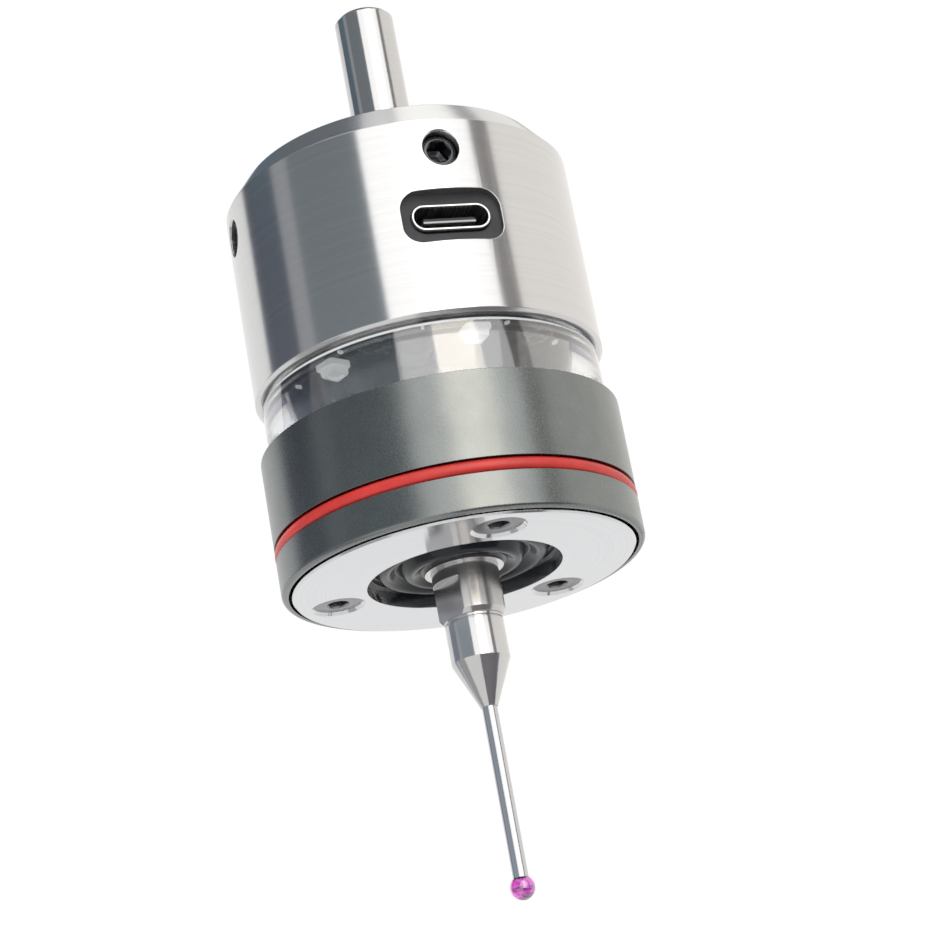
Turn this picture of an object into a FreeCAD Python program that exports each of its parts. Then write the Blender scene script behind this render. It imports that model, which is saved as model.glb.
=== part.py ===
import FreeCAD, Part
import math
import os
import re

import Sketcher

# A spindle touch probe: a shank above a round steel housing, a clear lamp ring, a lower
# housing with a red ring, and a sprung stylus that hangs through a rubber bellows.
# Millimetres. The origin is the middle of the top face, where the shank comes out, and
# +Z runs up the shank. The port faces -Y.

doc = FreeCAD.newDocument("touch_probe")

SIZES = {
    # shank and its flange
    "shank_radius": 3.5,
    "shank_length": 21.5,
    "shank_chamfer": 0.5,
    "shank_relief": 0.3,
    "flange_radius": 11.0,
    "flange_thickness": 5.4,
    "flange_room": 0.7,
    "shank_room": 1.1,
    # screws that hold the flange up against the top wall
    "cap_screw_radius": 1.5,
    "cap_screw_length": 6.0,
    "cap_head_radius": 2.75,
    "cap_head_height": 2.0,
    "cap_head_sink": 0.2,
    "cap_head_room": 0.5,
    "cap_screw_room": 0.6,
    "cap_screw_circle": 8.0,
    "cap_screw_count": 3,
    "cap_key": 2.0,
    "cap_key_depth": 1.2,
    # upper housing
    "upper_radius": 20.0,
    "upper_length": 26.3,
    "upper_wall": 2.1,
    "top_wall": 3.6,
    "bevel_width": 2.4,
    "bevel_height": 3.1,
    "lip_chamfer": 0.35,
    "opening_chamfer": 0.25,
    "shelf_depth": 11.8,
    # set screws that centre the shank
    "set_screw_radius": 2.0,
    "set_screw_recess": 1.0,
    "set_screw_depth": 6.6,
    "set_screw_point": 0.6,
    "set_screw_count": 4,
    "set_screw_key": 2.0,
    "set_screw_key_depth": 2.4,
    "thread_fit": 0.02,
    "tap_room": 0.3,
    # port in the front of the upper housing
    "port_width": 11.5,
    "port_height": 6.5,
    "port_corner": 2.2,
    "port_depth": 14.8,
    "bezel_fit": 0.05,
    "bezel_setback": 1.5,
    "bezel_thickness": 1.6,
    "socket_width": 8.94,
    "socket_height": 3.26,
    "socket_corner": 1.6,
    "socket_wall": 0.3,
    "socket_length": 7.35,
    "socket_setback": 1.0,
    "socket_depth": 14.65,
    "tongue_width": 6.69,
    "tongue_thickness": 0.7,
    "tongue_setback": 0.9,
    "tongue_root": 1.4,
    # boards, their spacers and screws
    "board_fit": 1.3,
    "board_thickness": 1.6,
    "light_board_thickness": 1.2,
    "light_board_rise": 0.4,
    "board_hole_fit": 0.3,
    "board_screw_radius": 1.0,
    "board_screw_grip": 2.6,
    "board_screw_inset": 1.7,
    "board_screw_count": 5,
    "board_head_radius": 1.6,
    "board_head_height": 1.2,
    "board_key": 1.3,
    "board_key_depth": 0.6,
    "spacer_radius": 1.6,
    "spacer_fit": 0.1,
    "light_width": 2.8,
    "light_length": 2.6,
    "light_height": 1.3,
    "light_inset": 3.0,
    "light_count": 5,
    "chip_side": 5.0,
    "chip_height": 0.9,
    "chip_gap": 4.4,
    "small_chip_side": 3.0,
    "header_pitch": 2.54,
    "header_pins": 4,
    "header_width": 2.2,
    "header_inset": 5.6,
    # clear lamp ring
    "ring_step": 0.7,
    "ring_wall": 2.5,
    "ring_fit": 0.05,
    "window_height": 7.0,
    "spigot_length": 3.0,
    "ring_chamfer": 0.3,
    "ring_relief": 0.6,
    "ring_relief_height": 0.45,
    # lower housing
    "lower_step": 0.45,
    "lower_length": 15.78,
    "lower_wall": 4.05,
    "lower_edge_round": 0.5,
    "floor_thickness": 4.1,
    "floor_hole_room": 0.4,
    "groove_rise": 4.98,
    "groove_width": 1.66,
    "groove_depth": 1.6,
    "red_ring_wire": 0.8,
    "red_ring_proud": 0.05,
    # base plate and its screws
    "plate_rim": 1.1,
    "plate_fit": 0.35,
    "plate_thickness": 3.0,
    "plate_proud": 0.3,
    "plate_width": 8.35,
    "plate_edge": 0.2,
    "base_screw_inset": 4.35,
    "base_screw_count": 3,
    "base_screw_radius": 1.5,
    "base_screw_length": 6.3,
    "base_screw_sink": 0.3,
    "base_head_radius": 2.8,
    "base_key": 2.0,
    "base_key_depth": 1.3,
    # rubber bellows
    "rim_reach": 1.6,
    "rim_thickness": 1.0,
    "bellows_wall": 0.5,
    "fold_round_share": 0.4,
    "outer_crest_share": 0.643,
    "outer_crest_rise": 0.54,
    "valley_share": 0.418,
    "valley_rise": 2.5,
    "inner_crest_share": 0.208,
    "inner_crest_rise": 0.32,
    "lip_wall": 1.09,
    "lip_height": 1.3,
    "lip_fit": 0.03,
    "clamp_ring_wall": 0.66,
    "clamp_ring_thickness": 0.5,
    "clamp_ring_rise": 0.48,
    # three-legged contact
    "contact_thickness": 1.6,
    "contact_hole": 7.2,
    "contact_fit": 0.1,
    "seat_ball": 1.5,
    "ball_rise": 0.5,
    "seat_circle": 9.2,
    "seat_spread": 1.9,
    "leg_count": 3,
    "rod_radius": 1.25,
    "rod_inner": 4.9,
    "rod_outer": 11.4,
    "rod_lift": 1.1,
    "plate_screw_inset": 2.1,
    "plate_screw_length": 4.2,
    "hub_radius": 6.2,
    "hub_recess": 4.4,
    "hub_wall_height": 1.5,
    "hub_depth": 3.1,
    "boss_radius": 4.2,
    "boss_length": 3.6,
    # spring column
    "thrust_ball_radius": 2.0,
    "thrust_ball_fit": 0.03,
    "cup_radius": 4.0,
    "cup_gap": 0.9,
    "cup_height": 2.2,
    "lift_travel": 3.0,
    "lift_spare": 0.2,
    "plunger_stem": 3.0,
    "plunger_head": 4.35,
    "plunger_head_height": 2.0,
    "head_float": 0.3,
    "bush_length": 1.2,
    "bush_fit": 0.05,
    "tube_hole": 4.5,
    "tube_wall": 0.7,
    "bridge_thickness": 1.1,
    "bridge_room": 0.3,
    "spring_length": 10.0,
    "spring_wire": 0.8,
    "spring_radius": 3.7,
    "spring_turns": 5,
    "spring_end_gap": 0.02,
    "plug_length": 3.0,
    "plug_key": 3.0,
    "plug_key_depth": 1.8,
    # stylus
    "holder_radius": 3.78,
    "holder_end_radius": 3.42,
    "holder_end_chamfer": 0.55,
    "holder_drop": 5.27,
    "holder_stud_radius": 2.0,
    "holder_stud_length": 3.1,
    "stud_room": 0.3,
    "flats_across": 5.5,
    "flats_rise": 4.28,
    "flats_azimuth": -162,
    "stylus_thread_radius": 1.5,
    "stylus_thread_length": 4.0,
    "stylus_base_radius": 3.27,
    "stylus_base_length": 4.85,
    "neck_radius": 3.05,
    "neck_depth": 0.3,
    "neck_height": 0.2,
    "cone_length": 5.2,
    "cone_end_radius": 0.95,
    "cross_hole_radius": 0.62,
    "cross_hole_rise": 1.9,
    "cross_hole_azimuth": 163,
    "stem_radius": 0.85,
    "stem_socket": 3.0,
    "stem_bond": 0.02,
    "stem_in_ball": 0.6,
    "ball_radius": 1.36,
    "ball_drop": 20.0,
}

# Heights and radii that follow from the sizes above.
DERIVED = {
    "flange_top": "-top_wall",
    "flange_bottom": "flange_top - flange_thickness",
    "flange_pocket": "flange_radius + flange_room",
    "shank_hole": "shank_radius + shank_room",
    "cap_head_top": "-cap_head_sink",
    "cap_head_bottom": "cap_head_top - cap_head_height",
    "shelf": "-shelf_depth",
    "housing_bore": "upper_radius - upper_wall",
    "set_screw_length": "upper_radius - set_screw_recess - flange_radius",
    "upper_end": "-upper_length",
    "lower_start": "upper_end - window_height",
    "lower_end": "lower_start - lower_length",
    "ring_radius": "upper_radius - ring_step",
    "ring_hollow": "ring_radius - ring_wall",
    "spigot": "housing_bore - ring_fit",
    "ring_top": "upper_end + spigot_length",
    "ring_foot": "lower_start - spigot_length",
    "set_screw_level": "-set_screw_depth",
    "port_level": "-port_depth",
    "bezel_face": "-(upper_radius - bezel_setback)",
    "bezel_back": "bezel_face + bezel_thickness",
    "port_tool_end": "-bezel_back - bezel_thickness",
    "socket_level": "-socket_depth",
    "socket_face": "-(upper_radius - socket_setback)",
    "socket_back": "socket_face + socket_length",
    "bridge_bottom": "shelf - bridge_thickness",
    "bridge_radius": "housing_bore - ring_fit",
    "bridge_flat": "bezel_back + bridge_room",
    "board_radius": "housing_bore - board_fit",
    "board_screw_circle": "board_radius - board_screw_inset",
    "light_circle": "board_radius - light_inset",
    "header_circle": "board_radius - header_inset",
    "board_top": "socket_level - socket_height / 2",
    "board_bottom": "board_top - board_thickness",
    "light_board_bottom": "upper_end + light_board_rise",
    "light_board_top": "light_board_bottom + light_board_thickness",
    "tube_radius": "tube_hole + tube_wall",
    "board_hole": "tube_radius + board_hole_fit",
    "chip_circle": "tube_radius + chip_gap",
    "board_clearance": "board_screw_radius + spacer_fit",
    "lower_radius": "upper_radius + lower_step",
    "lower_hollow": "lower_radius - lower_wall",
    "plate_radius": "lower_radius - plate_rim",
    "plate_hole": "plate_radius - plate_width",
    "floor_hole": "plate_hole + floor_hole_room",
    "base_screw_circle": "plate_radius - base_screw_inset",
    "plate_face": "lower_end - plate_proud",
    "plate_top": "plate_face + plate_thickness",
    "plate_seat": "plate_radius + plate_fit",
    "base_head_face": "plate_face + base_screw_sink",
    "base_sink_radius": "base_head_radius + base_screw_sink",
    "rim_radius": "plate_hole + rim_reach",
    "rim_bottom": "plate_top - rim_thickness",
    "lip_radius": "holder_radius + lip_fit + lip_wall",
    "fold_reach": "plate_hole - lip_radius",
    "outer_crest_radius": "lip_radius + outer_crest_share * fold_reach",
    "valley_radius": "lip_radius + valley_share * fold_reach",
    "inner_crest_radius": "lip_radius + inner_crest_share * fold_reach",
    "bellows_round": "fold_round_share * (outer_crest_radius - valley_radius)",
    "clamp_ring_radius": "holder_radius + thread_fit + clamp_ring_wall",
    "floor_top": "plate_top + floor_thickness",
    "contact_top": "floor_top + contact_thickness",
    "contact_radius": "lower_hollow - contact_fit",
    "plate_screw_circle": "contact_radius - plate_screw_inset",
    "seat_centre": "contact_top + ball_rise",
    "rod_axis": "seat_centre + sqrt((seat_ball + rod_radius)^2 - seat_spread^2) + rod_lift",
    "hub_top": "rod_axis + hub_wall_height",
    "hub_bottom": "rod_axis - hub_depth",
    "boss_bottom": "hub_bottom - boss_length",
    "ball_seat": "thrust_ball_radius + thrust_ball_fit",
    "cup_bottom": "rod_axis + cup_gap",
    "cup_top": "cup_bottom + cup_height",
    "tube_end": "cup_top + lift_travel + lift_spare",
    "bush_top": "tube_end + bush_length",
    "plunger_head_bottom": "bush_top + head_float",
    "plunger_head_top": "plunger_head_bottom + plunger_head_height",
    "spring_top": "plunger_head_top + spring_length",
    "plug_top": "spring_top + plug_length",
    "clamp_bottom": "plate_face + clamp_ring_rise",
    "clamp_top": "clamp_bottom + clamp_ring_thickness",
    "holder_end": "plate_face - holder_drop",
    "flats_top": "holder_end + flats_rise",
    "stylus_base_end": "holder_end - stylus_base_length",
    "cone_end": "stylus_base_end - cone_length",
    "ball_centre": "cone_end - ball_drop",
}


def bound(text):
    """The expression with every size led to its cell and every derived size written out."""
    def swap(match):
        word = match.group(0)
        if word in DERIVED:
            return "(" + bound(DERIVED[word]) + ")"
        if word in SIZES:
            return "Sizes." + word
        return word
    return re.sub(r"[a-z_][a-z_0-9]*", swap, text)


sheet = doc.addObject("Spreadsheet::Sheet", "Sizes")
for row, (alias, number) in enumerate(SIZES.items(), start=1):
    sheet.set(f"A{row}", alias.replace("_", " "))
    sheet.set(f"B{row}", str(number))
    sheet.setAlias(f"B{row}", alias)
doc.recompute()


def value(text):
    """The number that an expression of sizes gives."""
    return float(sheet.evalExpression(bound(text)))


def origin_plane(body, role):
    """One of a body's own origin planes."""
    return next(item for item in body.Origin.OriginFeatures if item.Role == role)


def sketch_on(body, role):
    """A sketch on one of the body's origin planes."""
    sketch = body.newObject("Sketcher::SketchObject", body.Name + "_outline")
    sketch.AttachmentSupport = [(origin_plane(body, role), "")]
    sketch.MapMode = "FlatFace"
    return sketch


def hold_point(sketch, edge, radius, height):
    """Hold the start of an outline's edge at a radius and a height."""
    if radius == "0":
        sketch.addConstraint(Sketcher.Constraint("PointOnObject", edge, 1, -2))
    else:
        index = sketch.addConstraint(Sketcher.Constraint("DistanceX", -1, 1, edge, 1, value(radius)))
        sketch.setExpression(f"Constraints[{index}]", bound(radius))
    if height == "0":
        sketch.addConstraint(Sketcher.Constraint("PointOnObject", edge, 1, -1))
    else:
        index = sketch.addConstraint(Sketcher.Constraint("DistanceY", -1, 1, edge, 1, value(height)))
        sketch.setExpression(f"Constraints[{index}]", bound(height))


def turned(name, outline):
    """A body turned about Z from a closed outline of radius and height expressions."""
    body = doc.addObject("PartDesign::Body", name)
    body.Label = name
    sketch = sketch_on(body, "XZ_Plane")
    points = [FreeCAD.Vector(value(radius), value(height), 0) for radius, height in outline]
    for start, end in zip(points, points[1:] + points[:1]):
        sketch.addGeometry(Part.LineSegment(start, end))
    count = len(points)
    for edge in range(count):
        sketch.addConstraint(Sketcher.Constraint("Coincident", edge, 2, (edge + 1) % count, 1))
    for edge, (radius, height) in enumerate(outline):
        hold_point(sketch, edge, radius, height)
    turn = body.newObject("PartDesign::Revolution", name + "_turn")
    turn.Profile = sketch
    turn.ReferenceAxis = (sketch, ["V_Axis"])
    turn.Angle = 360
    doc.recompute()
    return body


def ring_edges(shape, radius, height):
    """The names of the round edges of a shape at a radius and a height."""
    names = []
    for number, edge in enumerate(shape.Edges, start=1):
        curve = edge.Curve
        if isinstance(curve, Part.Circle):
            level = math.isclose(curve.Center.z, height, abs_tol=1e-4)
            if level and math.isclose(curve.Radius, radius, abs_tol=1e-4):
                names.append(f"Edge{number}")
    return names


def dress(body, kind, size, rings):
    """A Fillet or Chamfer on the round edges of a body, each given by radius and height."""
    base = body.Tip
    names = []
    for radius, height in rings:
        names += ring_edges(base.Shape, value(radius), value(height))
    feature = body.newObject("PartDesign::" + kind, f"{body.Name}_{kind.lower()}")
    feature.Base = (base, names)
    feature.setExpression("Radius" if kind == "Fillet" else "Size", bound(size))
    doc.recompute()
    return body


def rounded_bar(name, width, height, corner, length, back, level):
    """A bar along Y with a rounded oblong section, from a back face towards -Y."""
    body = doc.addObject("PartDesign::Body", name)
    body.Label = name
    sketch = sketch_on(body, "XZ_Plane")
    half_width = value(width) / 2
    half_height = value(height) / 2
    bend = value(corner)
    flat = half_width - bend
    side = half_height - bend
    vector = FreeCAD.Vector
    lines = [
        (vector(-flat, -half_height, 0), vector(flat, -half_height, 0)),
        (vector(half_width, -side, 0), vector(half_width, side, 0)),
        (vector(flat, half_height, 0), vector(-flat, half_height, 0)),
        (vector(-half_width, side, 0), vector(-half_width, -side, 0)),
    ]
    for start, end in lines:
        sketch.addGeometry(Part.LineSegment(start, end))
    centres = [(flat, -side), (flat, side), (-flat, side), (-flat, -side)]
    for turn, (across, up) in enumerate(centres):
        circle = Part.Circle(vector(across, up, 0), vector(0, 0, 1), bend)
        first = math.radians(90 * turn - 90)
        sketch.addGeometry(Part.ArcOfCircle(circle, first, first + math.pi / 2))
    for turn in range(4):
        arc = 4 + turn
        sketch.addConstraint(Sketcher.Constraint("Tangent", turn, 2, arc, 1))
        sketch.addConstraint(Sketcher.Constraint("Tangent", arc, 2, (turn + 1) % 4, 1))
    sketch.addConstraint(Sketcher.Constraint("Horizontal", 0))
    sketch.addConstraint(Sketcher.Constraint("Vertical", 1))
    for arc in (5, 6, 7):
        sketch.addConstraint(Sketcher.Constraint("Equal", 4, arc))
    sketch.addConstraint(Sketcher.Constraint("Symmetric", 4, 3, 6, 3, -1, 1))
    for kind, first, second, size, text in (
        ("DistanceX", 7, 5, 2 * flat, f"{width} - 2 * ({corner})"),
        ("DistanceY", 7, 5, 2 * side, f"{height} - 2 * ({corner})"),
    ):
        index = sketch.addConstraint(Sketcher.Constraint(kind, first, 3, second, 3, size))
        sketch.setExpression(f"Constraints[{index}]", bound(text))
    index = sketch.addConstraint(Sketcher.Constraint("Radius", 4, bend))
    sketch.setExpression(f"Constraints[{index}]", bound(corner))
    pad = body.newObject("PartDesign::Pad", name + "_pad")
    pad.Profile = sketch
    pad.Midplane = True
    pad.setExpression("Length", bound(length))
    body.setExpression("Placement.Base.y", bound(f"{back} - ({length}) / 2"))
    body.setExpression("Placement.Base.z", bound(level))
    doc.recompute()
    return body


def set_place(item, x="0", y="0", z="0"):
    """Bind an object's place to expressions of the sizes."""
    for axis, text in zip("xyz", (x, y, z)):
        item.setExpression("Placement.Base." + axis, bound(text))


def cylinder(name, radius, height, x="0", y="0", z="0"):
    """An upright cylinder from its lower face."""
    item = doc.addObject("Part::Cylinder", name)
    item.setExpression("Radius", bound(radius))
    item.setExpression("Height", bound(height))
    set_place(item, x, y, z)
    return item


def spoke(name, radius, start, end, azimuth, z="0"):
    """A level cylinder that points out from the axis, between two radii."""
    item = doc.addObject("Part::Cylinder", name)
    item.setExpression("Radius", bound(radius))
    item.setExpression("Height", bound(f"({end}) - ({start})"))
    outwards = FreeCAD.Rotation(FreeCAD.Vector(0, 0, 1), value(azimuth))
    level = FreeCAD.Rotation(FreeCAD.Vector(0, 1, 0), 90)
    item.Placement = FreeCAD.Placement(FreeCAD.Vector(), outwards * level)
    set_place(item, f"({start}) * cos({azimuth})", f"({start}) * sin({azimuth})", z)
    return item


def ball(name, radius, x="0", y="0", z="0"):
    """A ball about its centre."""
    item = doc.addObject("Part::Sphere", name)
    item.setExpression("Radius", bound(radius))
    set_place(item, x, y, z)
    return item


def block(name, width, depth, height, x="0", y="0", z="0"):
    """A box centred on its place in X and Y, from its lower face."""
    item = doc.addObject("Part::Box", name)
    item.setExpression("Length", bound(width))
    item.setExpression("Width", bound(depth))
    item.setExpression("Height", bound(height))
    set_place(item, f"{x} - ({width}) / 2", f"{y} - ({depth}) / 2", z)
    return item


def hex_key(name, across, depth, z):
    """The six-sided hole of a screw, upwards from a height."""
    item = doc.addObject("Part::Prism", name)
    item.Polygon = 6
    item.setExpression("Circumradius", bound(f"{across} / sqrt(3)"))
    item.setExpression("Height", bound(depth))
    set_place(item, z=z)
    return item


def joined(name, parts):
    """Several objects made one."""
    item = doc.addObject("Part::MultiFuse", name)
    item.Shapes = parts
    item.Label = name
    return item


def cut(name, base, tools):
    """A base less its tools."""
    item = doc.addObject("Part::Cut", name)
    item.Base = base
    item.Tool = tools[0] if len(tools) == 1 else joined(name + "_tools", tools)
    item.Label = name
    return item


def copies(name, source, places):
    """A group of copies of a piece, each with a place and a turn about an axis."""
    links = []
    for number, (x, y, z, turn) in enumerate(places, start=1):
        link = doc.addObject("App::Link", f"{name}_{number}")
        link.LinkedObject = source
        link.LinkPlacement = FreeCAD.Placement(FreeCAD.Vector(), turn)
        for axis, text in zip("xyz", (x, y, z)):
            link.setExpression("LinkPlacement.Base." + axis, bound(text))
        links.append(link)
    group = doc.addObject("Part::Compound", name)
    group.Links = links
    group.Label = name
    return group


def azimuths(count, first):
    """Azimuths in degrees, evenly spaced from the first, as texts."""
    step = 360 / value(count)
    return [str(first + step * number) for number in range(int(value(count)))]


def on_circle(circle, azimuth):
    """The X and Y expressions of a point on a circle about the axis."""
    return f"{circle} * cos({azimuth})", f"{circle} * sin({azimuth})"


UPRIGHT = FreeCAD.Rotation()
PORT_AZIMUTH = -90
FIRST_LEG = 90
FIRST_BOARD_SCREW = 18
FIRST_CAP_SCREW = 90

CAP_SCREWS = azimuths("cap_screw_count", FIRST_CAP_SCREW)
SET_SCREWS = azimuths("set_screw_count", PORT_AZIMUTH)
BOARD_SCREWS = azimuths("board_screw_count", FIRST_BOARD_SCREW)
LIGHTS = azimuths("light_count", PORT_AZIMUTH)
BASE_SCREWS = azimuths("base_screw_count", PORT_AZIMUTH)
LEGS = azimuths("leg_count", FIRST_LEG)


def holes(name, radius, height, circle, spots, z):
    """Upright round tools on a circle about the axis."""
    return [
        cylinder(f"{name}_{number}", radius, height, *on_circle(circle, azimuth), z)
        for number, azimuth in enumerate(spots, start=1)
    ]


def stood(name, source, circle, spots, z):
    """Copies of an upright piece on a circle, at one height."""
    places = [(*on_circle(circle, azimuth), z, UPRIGHT) for azimuth in spots]
    return copies(name, source, places)


def spun(name, source, circle, spots, z, extra=0):
    """Copies of a piece on a circle, each turned to its own azimuth."""
    places = []
    for azimuth in spots:
        turn = FreeCAD.Rotation(FreeCAD.Vector(0, 0, 1), float(azimuth) + extra)
        places.append((*on_circle(circle, azimuth), z, turn))
    return copies(name, source, places)


NODES = []


def keep(item):
    """List an object as one of the probe's pieces."""
    NODES.append(item)
    return item


# Shank, a ground pin with a flange that is clamped under the top wall.
shank_blank = turned("shank_blank", [
    ("0", "shank_length"),
    ("shank_radius - shank_chamfer", "shank_length"),
    ("shank_radius", "shank_length - shank_chamfer"),
    ("shank_radius", "0"),
    ("shank_radius - shank_relief", "0"),
    ("shank_radius - shank_relief", "flange_top"),
    ("flange_radius", "flange_top"),
    ("flange_radius", "flange_bottom"),
    ("0", "flange_bottom"),
])
shank_taps = holes("shank_tap", "cap_screw_radius + thread_fit", "flange_thickness",
                   "cap_screw_circle", CAP_SCREWS, "flange_bottom")
keep(cut("shank", shank_blank, shank_taps))


def cap_screw():
    """A low cylinder-head screw, its head's top face at height zero."""
    blank = turned("cap_screw_blank", [
        ("0", "0"),
        ("cap_head_radius", "0"),
        ("cap_head_radius", "-cap_head_height"),
        ("cap_screw_radius", "-cap_head_height"),
        ("cap_screw_radius", "-(cap_head_height + cap_screw_length)"),
        ("0", "-(cap_head_height + cap_screw_length)"),
    ])
    key = hex_key("cap_screw_key", "cap_key", "cap_key_depth", "-cap_key_depth")
    return cut("cap_screw", blank, [key])


keep(stood("shank_screws", cap_screw(), "cap_screw_circle", CAP_SCREWS, "cap_head_top"))


def upper_housing():
    """The turned upper housing, with its port, screw holes and board shelf."""
    blank = turned("upper_blank", [
        ("shank_hole", "0"),
        ("upper_radius - bevel_width", "0"),
        ("upper_radius", "-bevel_height"),
        ("upper_radius", "upper_end + lip_chamfer"),
        ("upper_radius - lip_chamfer", "upper_end"),
        ("housing_bore", "upper_end"),
        ("housing_bore", "shelf"),
        ("flange_pocket", "shelf"),
        ("flange_pocket", "flange_top"),
        ("shank_hole", "flange_top"),
    ])
    tools = [
        spoke(f"set_screw_hole_{number}", "set_screw_radius + thread_fit", "shank_hole", "upper_radius",
              azimuth, "set_screw_level")
        for number, azimuth in enumerate(SET_SCREWS, start=1)
    ]
    tools.append(rounded_bar("port_tool", "port_width", "port_height", "port_corner",
                             "upper_radius - port_tool_end", "-port_tool_end", "port_level"))
    tools += holes("head_hole", "cap_head_radius + cap_head_room", "top_wall",
                   "cap_screw_circle", CAP_SCREWS, "cap_head_bottom")
    tools += holes("cap_hole", "cap_screw_radius + cap_screw_room", "top_wall",
                   "cap_screw_circle", CAP_SCREWS, "flange_top")
    tools += holes("board_tap", "board_screw_radius + thread_fit", "board_screw_grip + tap_room",
                   "board_screw_circle", BOARD_SCREWS, "shelf")
    rough = cut("upper_rough", blank, tools)
    doc.recompute()
    outside = [face for face in rough.Shape.Faces if is_outside(face)]
    inside = [face for face in rough.Shape.Faces if not is_outside(face)]
    level = value("opening_chamfer")
    edges = [
        edge for face in outside for edge in face.Edges
        if edge.BoundBox.ZLength > level and any(edge.isSame(other) for wall in inside for other in wall.Edges)
    ]
    item = doc.addObject("Part::Feature", "upper_housing")
    item.Shape = rough.Shape.makeChamfer(level, edges)
    item.Label = "upper_housing"
    return item


def is_outside(face):
    """True for the housing's outer round."""
    surface = face.Surface
    return surface.TypeId == "Part::GeomCylinder" and abs(surface.Radius - value("upper_radius")) < 1e-6


keep(upper_housing())


def set_screw():
    """A headless screw along +X from its point, with its key hole in the outer end."""
    blank = turned("set_screw_blank", [
        ("0", "0"),
        ("set_screw_radius - set_screw_point", "0"),
        ("set_screw_radius", "set_screw_point"),
        ("set_screw_radius", "set_screw_length"),
        ("0", "set_screw_length"),
    ])
    key = hex_key("set_screw_hex", "set_screw_key", "set_screw_key_depth",
                  "set_screw_length - set_screw_key_depth")
    return cut("set_screw", blank, [key])


def centring_screws():
    """The set screws, each with its point on the shank's flange."""
    places = []
    for azimuth in SET_SCREWS:
        outwards = FreeCAD.Rotation(FreeCAD.Vector(0, 0, 1), float(azimuth))
        level = FreeCAD.Rotation(FreeCAD.Vector(0, 1, 0), 90)
        places.append((*on_circle("flange_radius", azimuth), "set_screw_level", outwards * level))
    return copies("centring_screws", set_screw(), places)


keep(centring_screws())

# Port: a moulded bezel in the housing's window, and the data socket through it.
bezel_blank = rounded_bar("bezel_blank", "port_width - 2 * bezel_fit", "port_height - 2 * bezel_fit",
                          "port_corner - bezel_fit", "bezel_thickness", "bezel_back",
                          "port_level")
bezel_window = rounded_bar("bezel_window", "socket_width + 2 * bezel_fit",
                           "socket_height + 2 * bezel_fit", "socket_corner + bezel_fit",
                           "2 * bezel_thickness", "bezel_back + bezel_thickness / 2", "socket_level")
keep(cut("port_bezel", bezel_blank, [bezel_window]))

shell_blank = rounded_bar("shell_blank", "socket_width", "socket_height", "socket_corner",
                          "socket_length", "socket_back", "socket_level")
shell_hollow = rounded_bar("shell_hollow", "socket_width - 2 * socket_wall",
                           "socket_height - 2 * socket_wall", "socket_corner - socket_wall",
                           "2 * socket_length", "socket_back + socket_length / 2", "socket_level")
keep(cut("socket_shell", shell_blank, [shell_hollow]))

tongue_block = rounded_bar("tongue_block", "socket_width - 2 * socket_wall - bezel_fit",
                           "socket_height - 2 * socket_wall - bezel_fit",
                           "socket_corner - socket_wall - bezel_fit", "tongue_root",
                           "socket_back", "socket_level")
tongue_blade = block("tongue_blade", "tongue_width", "socket_length - tongue_setback",
                     "tongue_thickness", y="(socket_back + socket_face + tongue_setback) / 2",
                     z="socket_level - tongue_thickness / 2")
keep(joined("socket_tongue", [tongue_block, tongue_blade]))


def board(name, bottom, thickness):
    """A round circuit board with the tube's hole and the screws' holes."""
    blank = turned(name + "_blank", [
        ("board_hole", f"{bottom}"),
        ("board_radius", f"{bottom}"),
        ("board_radius", f"{bottom} + {thickness}"),
        ("board_hole", f"{bottom} + {thickness}"),
    ])
    tools = holes(name + "_hole", "board_clearance", thickness, "board_screw_circle",
                  BOARD_SCREWS, bottom)
    return cut(name, blank, tools)


keep(board("main_board", "board_bottom", "board_thickness"))
keep(board("light_board", "light_board_bottom", "light_board_thickness"))


def spacer(name, length):
    """A plain tube about its screw, from height zero up."""
    return turned(name, [
        ("board_clearance", "0"),
        ("spacer_radius", "0"),
        ("spacer_radius", length),
        ("board_clearance", length),
    ])


upper_spacer = spacer("upper_spacer", "bridge_bottom - board_top")
keep(stood("upper_spacers", upper_spacer, "board_screw_circle", BOARD_SCREWS, "board_top"))
lower_spacer = spacer("lower_spacer", "board_bottom - light_board_top")
keep(stood("lower_spacers", lower_spacer, "board_screw_circle", BOARD_SCREWS, "light_board_top"))


def board_screw(name, length):
    """A small screw with its head below height zero and its thread above."""
    blank = turned(name + "_blank", [
        ("0", "-board_head_height"),
        ("board_head_radius", "-board_head_height"),
        ("board_head_radius", "0"),
        ("board_screw_radius", "0"),
        ("board_screw_radius", length),
        ("0", length),
    ])
    key = hex_key(name + "_hex", "board_key", "board_key_depth", "-board_head_height")
    return cut(name, blank, [key])


long_screw = board_screw("long_board_screw", "shelf + board_screw_grip - light_board_bottom")
keep(stood("board_screws", long_screw, "board_screw_circle", BOARD_SCREWS, "light_board_bottom"))

light = block("light", "light_length", "light_width", "light_height")
keep(spun("board_lights", light, "light_circle", LIGHTS, "light_board_bottom - light_height"))


# The chips' azimuths on their circle, with the side of each and the level of its lower face.
CHIPS = [
    ("60", "chip_side", "board_top"),
    ("150", "small_chip_side", "board_top"),
    ("200", "small_chip_side", "light_board_bottom - chip_height"),
    ("245", "small_chip_side", "light_board_bottom - chip_height"),
    ("330", "small_chip_side", "light_board_bottom - chip_height"),
]


def board_chips():
    """The larger parts soldered to the boards."""
    chips = []
    for number, (azimuth, side, level) in enumerate(CHIPS, start=1):
        x, y = on_circle("chip_circle", azimuth)
        chips.append(block(f"chip_{number}", side, side, "chip_height", x, y, level))
    group = doc.addObject("Part::Compound", "board_chips")
    group.Links = chips
    group.Label = "board_chips"
    return group


keep(board_chips())
header_gap = "board_bottom - light_board_top"
keep(block("link_header", "header_width", "header_pitch * header_pins", header_gap,
           "header_circle", "0", "light_board_top"))

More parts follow.
